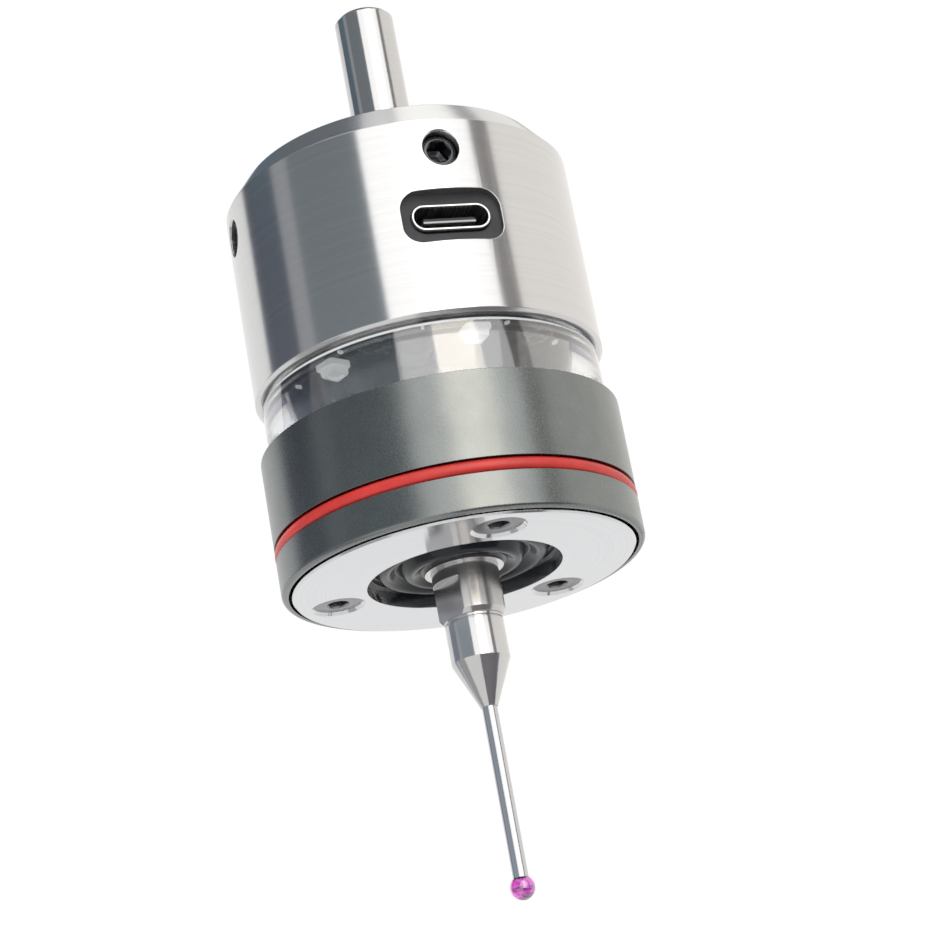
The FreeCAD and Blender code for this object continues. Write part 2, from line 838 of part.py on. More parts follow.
# Spring column: bridge plate and tube, set plug, spring, plunger, bush and thrust ball.
bridge_blank = turned("bridge_blank", [
    ("tube_hole", "shelf"),
    ("bridge_radius", "shelf"),
    ("bridge_radius", "bridge_bottom"),
    ("tube_radius", "bridge_bottom"),
    ("tube_radius", "tube_end"),
    ("tube_hole", "tube_end"),
])
bridge_tools = holes("bridge_hole", "board_clearance", "bridge_thickness", "board_screw_circle",
                     BOARD_SCREWS, "bridge_bottom")
bridge_tools.append(block("bridge_front", "2 * bridge_radius", "bridge_radius + bridge_flat",
                          "bridge_thickness", y="(bridge_flat - bridge_radius) / 2",
                          z="bridge_bottom"))
keep(cut("spring_bridge", bridge_blank, bridge_tools))

plug_blank = turned("plug_blank", [
    ("0", "spring_top"),
    ("tube_hole - thread_fit", "spring_top"),
    ("tube_hole - thread_fit", "plug_top"),
    ("0", "plug_top"),
])
plug_hex = hex_key("plug_hex", "plug_key", "plug_key_depth", "plug_top - plug_key_depth")
keep(cut("spring_plug", plug_blank, [plug_hex]))


def spring():
    """The pressure spring, a round wire wound between the plunger's head and the plug."""
    wire = value("spring_wire") / 2
    low = value("plunger_head_top + spring_end_gap") + wire
    high = value("spring_top - spring_end_gap") - wire
    mean = value("spring_radius")
    pitch = (high - low) / value("spring_turns")
    helix = Part.makeHelix(pitch, high - low, mean)
    section = Part.Wire([Part.Circle(FreeCAD.Vector(mean, 0, 0), FreeCAD.Vector(0, 1, 0), wire).toShape()])
    coil = Part.Wire(helix.Edges).makePipeShell([section], True, True)
    item = doc.addObject("Part::Feature", "pressure_spring")
    item.Shape = coil if coil.ShapeType == "Solid" else Part.Solid(coil)
    item.Label = "pressure_spring"
    item.Placement = FreeCAD.Placement(FreeCAD.Vector(0, 0, low), FreeCAD.Rotation())
    return item


keep(spring())

plunger_blank = turned("plunger_blank", [
    ("0", "cup_bottom"),
    ("cup_radius", "cup_bottom"),
    ("cup_radius", "cup_top"),
    ("plunger_stem", "cup_top"),
    ("plunger_stem", "plunger_head_bottom"),
    ("plunger_head", "plunger_head_bottom"),
    ("plunger_head", "plunger_head_top"),
    ("0", "plunger_head_top"),
])
keep(cut("spring_plunger", plunger_blank, [ball("plunger_seat", "ball_seat", z="rod_axis")]))
keep(turned("guide_bush", [
    ("plunger_stem + bush_fit", "tube_end"),
    ("tube_hole - thread_fit", "tube_end"),
    ("tube_hole - thread_fit", "bush_top"),
    ("plunger_stem + bush_fit", "bush_top"),
]))
thrust_ball = ball("thrust_ball", "thrust_ball_radius", z="rod_axis")
thrust_ball.Label = "thrust_ball"
keep(thrust_ball)

# Clear ring between the housings.
light_ring = turned("light_ring", [
    ("ring_hollow", "ring_top"),
    ("spigot", "ring_top"),
    ("spigot", "upper_end"),
    ("ring_radius - ring_relief", "upper_end"),
    ("ring_radius - ring_relief", "upper_end - ring_relief_height"),
    ("ring_radius - ring_chamfer", "upper_end - ring_relief_height"),
    ("ring_radius", "upper_end - ring_relief_height - ring_chamfer"),
    ("ring_radius", "lower_start + ring_chamfer"),
    ("ring_radius - ring_chamfer", "lower_start"),
    ("spigot", "lower_start"),
    ("spigot", "ring_foot"),
    ("ring_hollow", "ring_foot"),
])
keep(light_ring)


def lower_housing():
    """The turned lower housing, with the ring's groove and the floor for the contact plate."""
    blank = turned("lower_blank", [
        ("housing_bore", "lower_start"),
        ("lower_radius", "lower_start"),
        ("lower_radius", "lower_end + groove_rise + groove_width / 2"),
        ("lower_radius - groove_depth", "lower_end + groove_rise + groove_width / 2"),
        ("lower_radius - groove_depth", "lower_end + groove_rise - groove_width / 2"),
        ("lower_radius", "lower_end + groove_rise - groove_width / 2"),
        ("lower_radius", "lower_end"),
        ("plate_seat", "lower_end"),
        ("plate_seat", "plate_top"),
        ("floor_hole", "plate_top"),
        ("floor_hole", "floor_top"),
        ("lower_hollow", "floor_top"),
        ("lower_hollow", "ring_foot"),
        ("housing_bore", "ring_foot"),
    ])
    dress(blank, "Fillet", "lower_edge_round", [("lower_radius", "lower_end")])
    tap_depth = "base_head_face + base_screw_length - plate_top + tap_room"
    tools = holes("base_tap", "base_screw_radius + thread_fit", tap_depth, "base_screw_circle",
                  BASE_SCREWS, "plate_top")
    tools += holes("contact_tap", "board_screw_radius + thread_fit", "floor_thickness",
                   "plate_screw_circle", LEGS, "plate_top")
    return cut("lower_housing", blank, tools)


keep(lower_housing())

red_ring = doc.addObject("Part::Torus", "red_ring")
red_ring.Label = "red_ring"
red_ring.setExpression("Radius1", bound("lower_radius - red_ring_wire + red_ring_proud"))
red_ring.setExpression("Radius2", bound("red_ring_wire"))
set_place(red_ring, z="lower_end + groove_rise")
keep(red_ring)


def base_plate():
    """The base plate, with the bellows' recess and the countersunk screw holes."""
    blank = turned("plate_blank", [
        ("plate_hole", "plate_face"),
        ("plate_radius - plate_edge", "plate_face"),
        ("plate_radius", "plate_face + plate_edge"),
        ("plate_radius", "plate_top"),
        ("rim_radius", "plate_top"),
        ("rim_radius", "rim_bottom"),
        ("plate_hole", "rim_bottom"),
    ])
    sink = doc.addObject("Part::Cone", "countersink")
    sink.setExpression("Radius1", bound("base_sink_radius"))
    sink.setExpression("Radius2", bound("base_screw_radius + thread_fit"))
    sink.setExpression("Height", bound("base_sink_radius - base_screw_radius - thread_fit"))
    drill = cylinder("plate_drill", "base_screw_radius + thread_fit", "plate_thickness")
    hole = joined("plate_hole_tool", [sink, drill])
    screw_holes = stood("plate_holes", hole, "base_screw_circle", BASE_SCREWS, "plate_face")
    return cut("base_plate", blank, [screw_holes])


keep(base_plate())


def base_screw():
    """A countersunk screw, its head's face at height zero and its thread above."""
    blank = turned("base_screw_blank", [
        ("0", "0"),
        ("base_head_radius", "0"),
        ("base_screw_radius", "base_head_radius - base_screw_radius"),
        ("base_screw_radius", "base_screw_length"),
        ("0", "base_screw_length"),
    ])
    return cut("base_screw", blank, [hex_key("base_screw_hex", "base_key", "base_key_depth", "0")])


keep(stood("base_screws", base_screw(), "base_screw_circle", BASE_SCREWS, "base_head_face"))


def bellows():
    """The rubber bellows: a clamped rim, two hanging folds and a lip around the holder."""
    half = value("bellows_wall") / 2
    rim_mid = value("rim_bottom") + value("rim_thickness") / 2
    hollow = value("plate_hole") - 2 * value("bellows_wall")
    face = value("plate_face")
    points = [
        (value("rim_radius") - half, rim_mid),
        (hollow, rim_mid),
        (value("outer_crest_radius"), face + value("outer_crest_rise") + half),
        (value("valley_radius"), face + value("valley_rise")),
        (value("inner_crest_radius"), face + value("inner_crest_rise") + half),
        (value("lip_radius") - half, value("clamp_top") + value("lip_height") / 2),
    ]
    vectors = [FreeCAD.Vector(radius, 0, height) for radius, height in points]
    line = rounded_line(vectors, value("bellows_round"))
    skin = thickened(line, half)
    web = skin.revolve(FreeCAD.Vector(), FreeCAD.Vector(0, 0, 1), 360)
    rim = tube(value("plate_hole") - half, value("rim_radius"), value("rim_bottom"), value("plate_top"))
    lip_low = value("clamp_top")
    lip = tube(value("holder_radius + lip_fit"), value("lip_radius"), lip_low,
               lip_low + value("lip_height"))
    item = doc.addObject("Part::Feature", "bellows")
    item.Shape = web.fuse([rim, lip]).removeSplitter()
    item.Label = "bellows"
    item.Placement = FreeCAD.Placement()
    return item


def tube(inner, outer, low, high):
    """A plain ring about Z."""
    base = FreeCAD.Vector(0, 0, low)
    return Part.makeCylinder(outer, high - low, base).cut(Part.makeCylinder(inner, high - low, base))


def rounded_line(points, bend):
    """A wire through points, with an arc of one radius in each corner."""
    edges = []
    start = points[0]
    for before, corner, after in zip(points, points[1:], points[2:]):
        to_before = (before - corner).normalize()
        to_after = (after - corner).normalize()
        half_angle = to_before.getAngle(to_after) / 2
        reach = bend / math.tan(half_angle)
        middle = corner + (to_before + to_after).normalize() * (bend / math.sin(half_angle) - bend)
        first = corner + to_before * reach
        last = corner + to_after * reach
        edges.append(Part.LineSegment(start, first).toShape())
        edges.append(Part.Arc(first, middle, last).toShape())
        start = last
    edges.append(Part.LineSegment(start, points[-1]).toShape())
    return Part.Wire(edges)


def thickened(line, half):
    """A face of even thickness about a line in the XZ plane."""
    normal = FreeCAD.Vector(0, 1, 0)
    sides = []
    for way in (half, -half):
        edges = []
        for edge in line.Edges:
            edges.append(shifted(edge, normal, way))
        sides.append(edges)
    first, second = sides
    start = Part.LineSegment(second[0].firstVertex(True).Point, first[0].firstVertex(True).Point)
    end = Part.LineSegment(first[-1].lastVertex(True).Point, second[-1].lastVertex(True).Point)
    loop = Part.Wire(Part.__sortEdges__(first + second + [start.toShape(), end.toShape()]))
    return Part.Face(loop)


def shifted(edge, normal, way):
    """An edge moved sideways in its plane, an arc keeping its centre."""
    first = edge.firstVertex(True).Point
    last = edge.lastVertex(True).Point
    ends = []
    for parameter, point in ((edge.FirstParameter, first), (edge.LastParameter, last)):
        along = edge.tangentAt(parameter)
        ends.append(edge.valueAt(parameter) + normal.cross(along) * way)
    if isinstance(edge.Curve, Part.Line):
        return Part.LineSegment(ends[0], ends[1]).toShape()
    middle_parameter = (edge.FirstParameter + edge.LastParameter) / 2
    middle = edge.valueAt(middle_parameter) + normal.cross(edge.tangentAt(middle_parameter)) * way
    return Part.Arc(ends[0], middle, ends[1]).toShape()


keep(bellows())
keep(turned("bellows_clamp_ring", [
    ("holder_radius + thread_fit", "clamp_bottom"),
    ("clamp_ring_radius", "clamp_bottom"),
    ("clamp_ring_radius", "clamp_top"),
    ("holder_radius + thread_fit", "clamp_top"),
]))

# Three-legged contact: insulating plate, six balls, three rods in a hub.
contact_blank = turned("contact_blank", [
    ("contact_hole", "floor_top"),
    ("contact_radius", "floor_top"),
    ("contact_radius", "contact_top"),
    ("contact_hole", "contact_top"),
])


def seat_spots():
    """The X and Y expressions of the six seat balls, two beside each rod."""
    spots = []
    for azimuth in LEGS:
        for side in ("-", "+"):
            other = "+" if side == "-" else "-"
            spots.append((f"seat_circle * cos({azimuth}) {side} seat_spread * sin({azimuth})",
                          f"seat_circle * sin({azimuth}) {other} seat_spread * cos({azimuth})"))
    return spots


SEATS = seat_spots()
seat_ball = ball("seat_ball_one", "seat_ball")
keep(copies("contact_balls", seat_ball, [(x, y, "seat_centre", UPRIGHT) for x, y in SEATS]))
contact_tools = [
    ball(f"seat_tool_{number}", "seat_ball + thread_fit", x, y, "seat_centre")
    for number, (x, y) in enumerate(SEATS, start=1)
]
contact_tools += holes("contact_hole", "board_clearance", "contact_thickness", "plate_screw_circle",
                       LEGS, "floor_top")
keep(cut("contact_plate", contact_blank, contact_tools))


def plate_screw():
    """A small screw with its head above height zero and its thread below."""
    blank = turned("plate_screw_blank", [
        ("0", "board_head_height"),
        ("board_head_radius", "board_head_height"),
        ("board_head_radius", "0"),
        ("board_screw_radius", "0"),
        ("board_screw_radius", "-plate_screw_length"),
        ("0", "-plate_screw_length"),
    ])
    key = hex_key("plate_screw_hex", "board_key", "board_key_depth", "board_head_height - board_key_depth")
    return cut("plate_screw", blank, [key])


keep(stood("contact_plate_screws", plate_screw(), "plate_screw_circle", LEGS, "contact_top"))

rods = [
    spoke(f"rod_{number}", "rod_radius", "rod_inner", "rod_outer", azimuth, "rod_axis")
    for number, azimuth in enumerate(LEGS, start=1)
]
rod_group = doc.addObject("Part::Compound", "contact_rods")
rod_group.Label = "contact_rods"
rod_group.Links = rods
keep(rod_group)

hub_blank = turned("hub_blank", [
    ("0", "rod_axis"),
    ("hub_recess", "rod_axis"),
    ("hub_recess", "hub_top"),
    ("hub_radius", "hub_top"),
    ("hub_radius", "hub_bottom"),
    ("boss_radius", "hub_bottom"),
    ("boss_radius", "boss_bottom"),
    ("0", "boss_bottom"),
])
hub_tools = [
    ball("hub_seat", "ball_seat", z="rod_axis"),
    cylinder("hub_thread", "holder_stud_radius + thread_fit", "holder_stud_length + stud_room",
             z="boss_bottom"),
]
hub_tools += [
    spoke(f"rod_hole_{number}", "rod_radius", "rod_inner", "rod_outer", azimuth, "rod_axis")
    for number, azimuth in enumerate(LEGS, start=1)
]
keep(cut("tripod_hub", hub_blank, hub_tools))


def stylus_holder():
    """The holder between the hub and the stylus, with two wrench flats."""
    blank = turned("holder_blank", [
        ("0", "boss_bottom + holder_stud_length"),
        ("holder_stud_radius", "boss_bottom + holder_stud_length"),
        ("holder_stud_radius", "boss_bottom"),
        ("holder_radius", "boss_bottom"),
        ("holder_radius", "holder_end + holder_end_chamfer"),
        ("holder_end_radius", "holder_end"),
        ("stylus_thread_radius + thread_fit", "holder_end"),
        ("stylus_thread_radius + thread_fit", "holder_end + stylus_thread_length + stud_room"),
        ("0", "holder_end + stylus_thread_length + stud_room"),
    ])
    tools = []
    turn = FreeCAD.Rotation(FreeCAD.Vector(0, 0, 1), value("flats_azimuth"))
    for side in (1, -1):
        flat = doc.addObject("Part::Box", f"flat_{len(tools)}")
        flat.setExpression("Length", bound("holder_radius"))
        flat.setExpression("Width", bound("4 * holder_radius"))
        flat.setExpression("Height", bound("flats_rise"))
        flat.Placement = FreeCAD.Placement(FreeCAD.Vector(), turn)
        near = f"({side} * (flats_across / 2 + holder_radius / 2) - holder_radius / 2)"
        wide = "2 * holder_radius"
        set_place(flat, f"{near} * cos(flats_azimuth) + {wide} * sin(flats_azimuth)",
                  f"{near} * sin(flats_azimuth) - {wide} * cos(flats_azimuth)", "holder_end")
        tools.append(flat)
    return cut("stylus_holder", blank, tools)


keep(stylus_holder())


def stylus_base():
    """The stylus's steel base: thread, waist, cone and a cross hole for a tightening pin."""
    blank = turned("stylus_blank", [
        ("0", "holder_end + stylus_thread_length"),
        ("stylus_thread_radius", "holder_end + stylus_thread_length"),
        ("stylus_thread_radius", "holder_end"),
        ("stylus_base_radius", "holder_end"),
        ("stylus_base_radius", "holder_end - neck_depth"),
        ("neck_radius", "holder_end - neck_depth"),
        ("neck_radius", "holder_end - neck_depth - neck_height"),
        ("stylus_base_radius", "holder_end - neck_depth - neck_height"),
        ("stylus_base_radius", "stylus_base_end"),
        ("cone_end_radius", "cone_end"),
        ("stem_radius + stem_bond", "cone_end"),
        ("stem_radius + stem_bond", "cone_end + stem_socket"),
        ("0", "cone_end + stem_socket"),
    ])
    cross = spoke("cross_hole", "cross_hole_radius", "-2 * stylus_base_radius", "2 * stylus_base_radius",
                  "cross_hole_azimuth", "stylus_base_end + cross_hole_rise")
    return cut("stylus_base", blank, [cross])


keep(stylus_base())
stem_foot = "ball_centre + ball_radius - stem_in_ball"
keep(cylinder("stylus_stem", "stem_radius", f"cone_end + stem_socket - ({stem_foot})", z=stem_foot))
ruby_blank = ball("ruby_blank", "ball_radius", z="ball_centre")
ruby_hole = cylinder("ruby_hole", "stem_radius + stem_bond", "ball_radius", z=stem_foot)
keep(cut("ruby_ball", ruby_blank, [ruby_hole]))


def check_all():
    """Stop unless every object recomputed and every piece is a sound solid."""
    doc.recompute()
    for item in doc.Objects:
        if "Invalid" in item.State or "Error" in item.State:
            raise RuntimeError(f"{item.Name} did not recompute: {item.State}")
    for item in NODES:
        shape = item.Shape
        if shape.isNull() or not shape.isValid() or not shape.Solids:
            raise RuntimeError(f"{item.Label} has no sound shape")


def write_parts():
    """Write each piece to a file of its own name."""
    os.makedirs("parts", exist_ok=True)
    for item in NODES:
        item.Shape.exportStep(os.path.join("parts", item.Label + ".step"))


check_all()
write_parts()
for item in NODES:
    box = item.Shape.BoundBox
    count = len(item.Shape.Solids)
    print(f"{item.Label}: {count} solids, {item.Shape.Volume:.2f} mm3, z {box.ZMin:.2f} to {box.ZMax:.2f}")
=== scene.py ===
"""Dresses the touch probe: finishes for its solids, folded rubber, spring and screws, and the studio."""

import math

import bmesh
import bpy
from mathutils import Matrix, Vector


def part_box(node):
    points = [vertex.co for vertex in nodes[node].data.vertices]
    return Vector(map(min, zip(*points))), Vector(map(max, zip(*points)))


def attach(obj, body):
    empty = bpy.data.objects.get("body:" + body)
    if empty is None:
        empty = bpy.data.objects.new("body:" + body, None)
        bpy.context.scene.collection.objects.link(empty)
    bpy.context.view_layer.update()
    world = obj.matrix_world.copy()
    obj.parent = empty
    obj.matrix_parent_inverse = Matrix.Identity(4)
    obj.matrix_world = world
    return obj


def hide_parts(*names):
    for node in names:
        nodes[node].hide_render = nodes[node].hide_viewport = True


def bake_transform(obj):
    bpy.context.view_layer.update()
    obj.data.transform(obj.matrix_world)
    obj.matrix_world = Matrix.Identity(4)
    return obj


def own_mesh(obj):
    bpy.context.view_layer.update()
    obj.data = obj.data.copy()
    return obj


MM = 0.001
ROUND = 192
HAIR = 0.001

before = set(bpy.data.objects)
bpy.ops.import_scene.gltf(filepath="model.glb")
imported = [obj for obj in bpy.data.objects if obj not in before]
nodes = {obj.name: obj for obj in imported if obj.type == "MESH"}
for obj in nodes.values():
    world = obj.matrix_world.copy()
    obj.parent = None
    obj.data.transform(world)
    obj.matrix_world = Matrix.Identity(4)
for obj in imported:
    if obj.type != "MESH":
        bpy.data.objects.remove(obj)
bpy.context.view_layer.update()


# Shader building


def step(tree, kind, links=(), **settings):
    """One node: settings go on the node, and links are (input, value or output socket)."""
    made = tree.nodes.new(kind)
    for name, value in settings.items():
        setattr(made, name, value)
    for place, value in links:
        if isinstance(value, bpy.types.NodeSocket):
            tree.links.new(value, made.inputs[place])
        else:
            made.inputs[place].default_value = value
    return made


def sums(tree, operation, *values):
    """Arithmetic on numbers."""
    return step(tree, "ShaderNodeMath", enumerate(values), operation=operation).outputs[0]


def vector_sums(tree, operation, *values):
    """Arithmetic on vectors."""
    made = step(tree, "ShaderNodeVectorMath", enumerate(values), operation=operation)
    return made.outputs["Value" if operation == "LENGTH" else "Vector"]


def joined(tree, x=0.0, y=0.0, z=0.0):
    """A vector from three numbers."""
    return step(tree, "ShaderNodeCombineXYZ", enumerate((x, y, z))).outputs[0]


def split(tree, vector):
    """The three numbers in a vector or colour."""
    return step(tree, "ShaderNodeSeparateXYZ", [(0, vector)]).outputs


def blank_finish(name, colour, metallic=0.0, roughness=0.5, **sockets):
    """A new finish with its constants on the shader's own sockets."""
    finish = bpy.data.materials.new(name)
    finish.use_nodes = True
    tree = finish.node_tree
    shader = tree.nodes["Principled BSDF"]
    shader.inputs["Base Color"].default_value = (*colour, 1)
    shader.inputs["Metallic"].default_value = metallic
    shader.inputs["Roughness"].default_value = roughness
    for key, value in sockets.items():
        shader.inputs[key.replace("_", " ")].default_value = value
    finish.diffuse_color = (*colour, 1)
    return finish, tree, shader


def place_of(tree):
    """The point on the piece, in metres."""
    return step(tree, "ShaderNodeTexCoord").outputs["Object"]


def lathe_lines(tree, slow, fast):
    """A point that changes fast across a turned piece's tool marks and slowly along them."""
    rise = 1.37
    x, y, z = split(tree, place_of(tree))
    flat = joined(tree, x, y)
    across = sums(tree, "MULTIPLY_ADD", vector_sums(tree, "LENGTH", flat), rise, z)
    along = split(tree, vector_sums(tree, "MULTIPLY", flat, (slow, slow, 0)))
    return joined(tree, along[0], along[1], sums(tree, "MULTIPLY", across, fast))


def speckle(tree, point, scale, detail=2.0, rough=0.5):
    """Fractal noise, 0 to 1."""
    return step(tree, "ShaderNodeTexNoise", [("Vector", point), ("Scale", scale), ("Detail", detail),
                                             ("Roughness", rough)]).outputs["Fac"]


def spread(tree, value, low, high, start=0.3, end=0.7):
    """Value from start..end put on low..high."""
    return step(tree, "ShaderNodeMapRange", [("Value", value), ("From Min", start), ("From Max", end),
                                             ("To Min", low), ("To Max", high)]).outputs["Result"]


def two_tone(tree, value, first, second):
    """A colour between first and second, each a colour or an output socket."""
    made = step(tree, "ShaderNodeMix", [(0, value)], data_type="RGBA")
    for place, colour in ((6, first), (7, second)):
        if isinstance(colour, bpy.types.NodeSocket):
            tree.links.new(colour, made.inputs[place])
        else:
            made.inputs[place].default_value = (*colour, 1)
    return made.outputs[2]


def shades(colour, drift):
    """The colour a little darker, and a little lighter."""
    return [tuple(min(1, c * share) for c in colour) for share in (1 - drift, 1 + drift)]


def around(tree):
    """The direction round the probe's own axis."""
    turned = vector_sums(tree, "CROSS_PRODUCT", (0, 0, 1), place_of(tree))
    return vector_sums(tree, "NORMALIZE", turned)


def relief(tree, shader, height, depth, edge=0.0):
    """Fine relief depth metres high, over corners that are broken by edge metres."""
    bump = step(tree, "ShaderNodeBump", [("Height", height), ("Distance", depth), ("Strength", 1.0)])
    if edge:
        soft = step(tree, "ShaderNodeBevel", [("Radius", edge)], samples=6)
        tree.links.new(soft.outputs[0], bump.inputs["Normal"])
    tree.links.new(bump.outputs[0], shader.inputs["Normal"])


def vary(tree, shader, tone, colours, fine, roughness, shine=(0.9, 1.12)):
    """The colour drifts between two shades, and the roughness by its shares."""
    tree.links.new(two_tone(tree, tone, *colours), shader.inputs["Base Color"])
    low, high = (min(1, roughness * share) for share in shine)
    tree.links.new(spread(tree, fine, low, high), shader.inputs["Roughness"])


# Finishes


def turned_metal(name, colour, roughness, grain=9000, depth=0.0000009, drift=0.025, edge=0.00008):
    """Metal turned on a lathe: fine rings across which the shine is drawn out."""
    finish, tree, shader = blank_finish(name, colour, 1.0, roughness, Anisotropic=0.7,
                                        Anisotropic_Rotation=0.25)
    fine = speckle(tree, lathe_lines(tree, 14, grain), 1.0, 3.0, 0.6)
    broad = speckle(tree, lathe_lines(tree, 9, grain / 4), 1.0, 3.0)
    vary(tree, shader, spread(tree, broad, 0, 1), shades(colour, drift), fine, roughness)
    tree.links.new(around(tree), shader.inputs["Tangent"])
    relief(tree, shader, fine, depth, edge)
    return finish


def satin_metal(name, colour, roughness, mottle=5200, depth=0.000001, drift=0.06, edge=0.0001):
    """Blasted or dyed metal with a fine even speckle."""
    finish, tree, shader = blank_finish(name, colour, 1.0, roughness)
    point = place_of(tree)
    fine = speckle(tree, point, mottle)
    broad = speckle(tree, point, mottle / 14, 3.0)
    tone = spread(tree, sums(tree, "MULTIPLY", fine, broad), 0, 1, 0.15, 0.4)
    vary(tree, shader, tone, shades(colour, drift), fine, roughness)
    relief(tree, shader, fine, depth, edge)
    return finish


def moulded(name, colour, roughness, depth=0.000003, drift=0.2, **sockets):
    """Rubber or plastic from a mould: a faint matt skin with a little bloom."""
    mottle = 3000
    finish, tree, shader = blank_finish(name, colour, 0.0, roughness, **sockets)
    point = place_of(tree)
    fine = speckle(tree, point, mottle, 2.0, 0.6)
    bloom = speckle(tree, point, mottle / 10, 3.0, 0.6)
    vary(tree, shader, spread(tree, bloom, 0, 1), shades(colour, drift), fine, roughness, (0.85, 1.15))
    relief(tree, shader, fine, depth, 0.00012)
    return finish


def clear_acrylic(name):
    """The clear lamp ring: turned and polished, with faint tool lines."""
    finish, tree, shader = blank_finish(name, (0.97, 0.985, 0.99), 0.0, 0.03, Transmission_Weight=1.0,
                                        IOR=1.49, Coat_Weight=1.0, Coat_IOR=2.3, Coat_Roughness=0.08)
    fine = speckle(tree, lathe_lines(tree, 30, 6000), 1.0, 2.0)
    tree.links.new(spread(tree, fine, 0.02, 0.06), shader.inputs["Roughness"])
    relief(tree, shader, fine, 0.0000004)
    return finish


def red_jewel(name):
    """A polished synthetic ruby with a little colour zoning inside."""
    finish, tree, shader = blank_finish(name, (0.71, 0.07, 0.57), 0.0, 0.02, Transmission_Weight=1.0,
                                        IOR=1.76, Coat_Weight=1.0, Coat_IOR=1.9, Coat_Roughness=0.05)
    deep, pale = (0.64, 0.04, 0.5), (0.78, 0.1, 0.66)
    zone = speckle(tree, place_of(tree), 900, 2.0)
    tree.links.new(two_tone(tree, spread(tree, zone, 0, 1), deep, pale), shader.inputs["Base Color"])
    tree.links.new(spread(tree, zone, 0.015, 0.04), shader.inputs["Roughness"])
    return finish


def circuit_board(name):
    """Black solder mask over tracks, with a few small bare pads."""
    finish, tree, shader = blank_finish(name, (0.006, 0.008, 0.01), 0.0, 0.7, Specular_IOR_Level=0.03)
    mask, track, pad = (0.003, 0.005, 0.007), (0.01, 0.015, 0.019), (0.5, 0.52, 0.53)
    pad_reach, pads_left_out = 0.19, 0.72
    point = place_of(tree)
    lines = step(tree, "ShaderNodeTexVoronoi", [("Vector", point), ("Scale", 420)], distance="MANHATTAN",
                 feature="F1")
    cut = spread(tree, lines.outputs["Distance"], 0, 1, 0.42, 0.5)
    dots = step(tree, "ShaderNodeTexVoronoi", [("Vector", point), ("Scale", 640), ("Randomness", 0.8)])
    dot = sums(tree, "LESS_THAN", dots.outputs["Distance"], pad_reach)
    some = sums(tree, "GREATER_THAN", split(tree, dots.outputs["Color"])[0], pads_left_out)
    bare = sums(tree, "MULTIPLY", dot, some)
    tree.links.new(two_tone(tree, bare, two_tone(tree, cut, mask, track), pad), shader.inputs["Base Color"])
    tree.links.new(spread(tree, cut, 0.6, 0.8, 0, 1), shader.inputs["Roughness"])
    relief(tree, shader, cut, 0.00002)
    return finish


FINISHES = {
    "ground_steel": turned_metal("ground_steel", (0.62, 0.615, 0.61), 0.16, grain=12000),
    "housing_steel": turned_metal("housing_steel", (0.66, 0.655, 0.65), 0.17, grain=9000, edge=0.00016),
    "dark_metal": satin_metal("dark_metal", (0.224, 0.238, 0.233), 0.27),
    "plate_steel": turned_metal("plate_steel", (0.69, 0.695, 0.705), 0.1, grain=9000, drift=0.03),
    "black_screw": satin_metal("black_screw", (0.085, 0.088, 0.095), 0.28, mottle=6000),
    "screw_steel": turned_metal("screw_steel", (0.26, 0.26, 0.27), 0.3, grain=7000),
    "holder_steel": turned_metal("holder_steel", (0.6, 0.59, 0.58), 0.2, grain=10000),
    "clear_plastic": clear_acrylic("clear_plastic"),
    "frosted_plastic": moulded("frosted_plastic", (0.88, 0.9, 0.92), 0.5, drift=0.03,
                               Transmission_Weight=0.25),
    "red_rubber": moulded("red_rubber", (0.58, 0.03, 0.024), 0.33, drift=0.12),
    "black_rubber": moulded("black_rubber", (0.006, 0.008, 0.012), 0.17, depth=0.0000008,
                            Specular_IOR_Level=0.4),
    "black_plastic": moulded("black_plastic", (0.036, 0.036, 0.041), 0.45, Specular_IOR_Level=0.3),
    "socket_steel": satin_metal("socket_steel", (0.7, 0.7, 0.7), 0.18, mottle=5000, depth=0.0000005,
                                drift=0.05),
    "board": circuit_board("board"),
    # The lamp finish glows faintly: painted light that keeps the unlit lamps, and the small soldered parts
    # that share this finish, white behind the clear ring.
    "lamp": moulded("lamp", (0.86, 0.86, 0.84), 0.35, drift=0.04, Emission_Color=(1, 1, 1, 1),
                    Emission_Strength=0.35),
    "chip": moulded("chip", (0.03, 0.03, 0.03), 0.5),
    "insulator": moulded("insulator", (0.55, 0.45, 0.2), 0.45),
    "carbide": turned_metal("carbide", (0.6, 0.6, 0.61), 0.14, grain=14000),
    "ruby": red_jewel("ruby"),
    "spring_steel": turned_metal("spring_steel", (0.5, 0.5, 0.5), 0.25, grain=6000),
    "bronze": turned_metal("bronze", (0.62, 0.44, 0.2), 0.35, grain=5000),
    "light_metal": turned_metal("light_metal", (0.72, 0.73, 0.74), 0.25, grain=6000),
}

NODE_FINISH = {
    "shank": "ground_steel",
    "shank_screws": "black_screw",
    "upper_housing": "housing_steel",
    "centring_screws": "black_screw",
    "port_bezel": "black_plastic",
    "socket_shell": "socket_steel",
    "socket_tongue": "black_plastic",
    "main_board": "board",
    "light_board": "board",
    "upper_spacers": "bronze",
    "lower_spacers": "bronze",
    "board_screws": "black_screw",
    "board_lights": "lamp",
    "board_chips": "chip",
    "link_header": "black_plastic",
    "spring_bridge": "light_metal",
    "spring_plug": "screw_steel",
    "pressure_spring": "spring_steel",
    "guide_bush": "bronze",
    "light_ring": "clear_plastic",
    "lower_housing": "dark_metal",
    "red_ring": "red_rubber",
    "base_plate": "plate_steel",
    "base_screws": "screw_steel",
    "bellows": "black_rubber",
    "contact_balls": "carbide",
    "contact_plate": "insulator",
    "contact_plate_screws": "screw_steel",
    "spring_plunger": "screw_steel",
    "thrust_ball": "carbide",
    "tripod_hub": "light_metal",
    "contact_rods": "carbide",
    "stylus_holder": "holder_steel",
    "bellows_clamp_ring": "ground_steel",
    "stylus_base": "ground_steel",
    "stylus_stem": "carbide",
    "ruby_ball": "ruby",
}

for name, finish in NODE_FINISH.items():
    nodes[name].data.materials.clear()
    nodes[name].data.materials.append(FINISHES[finish])


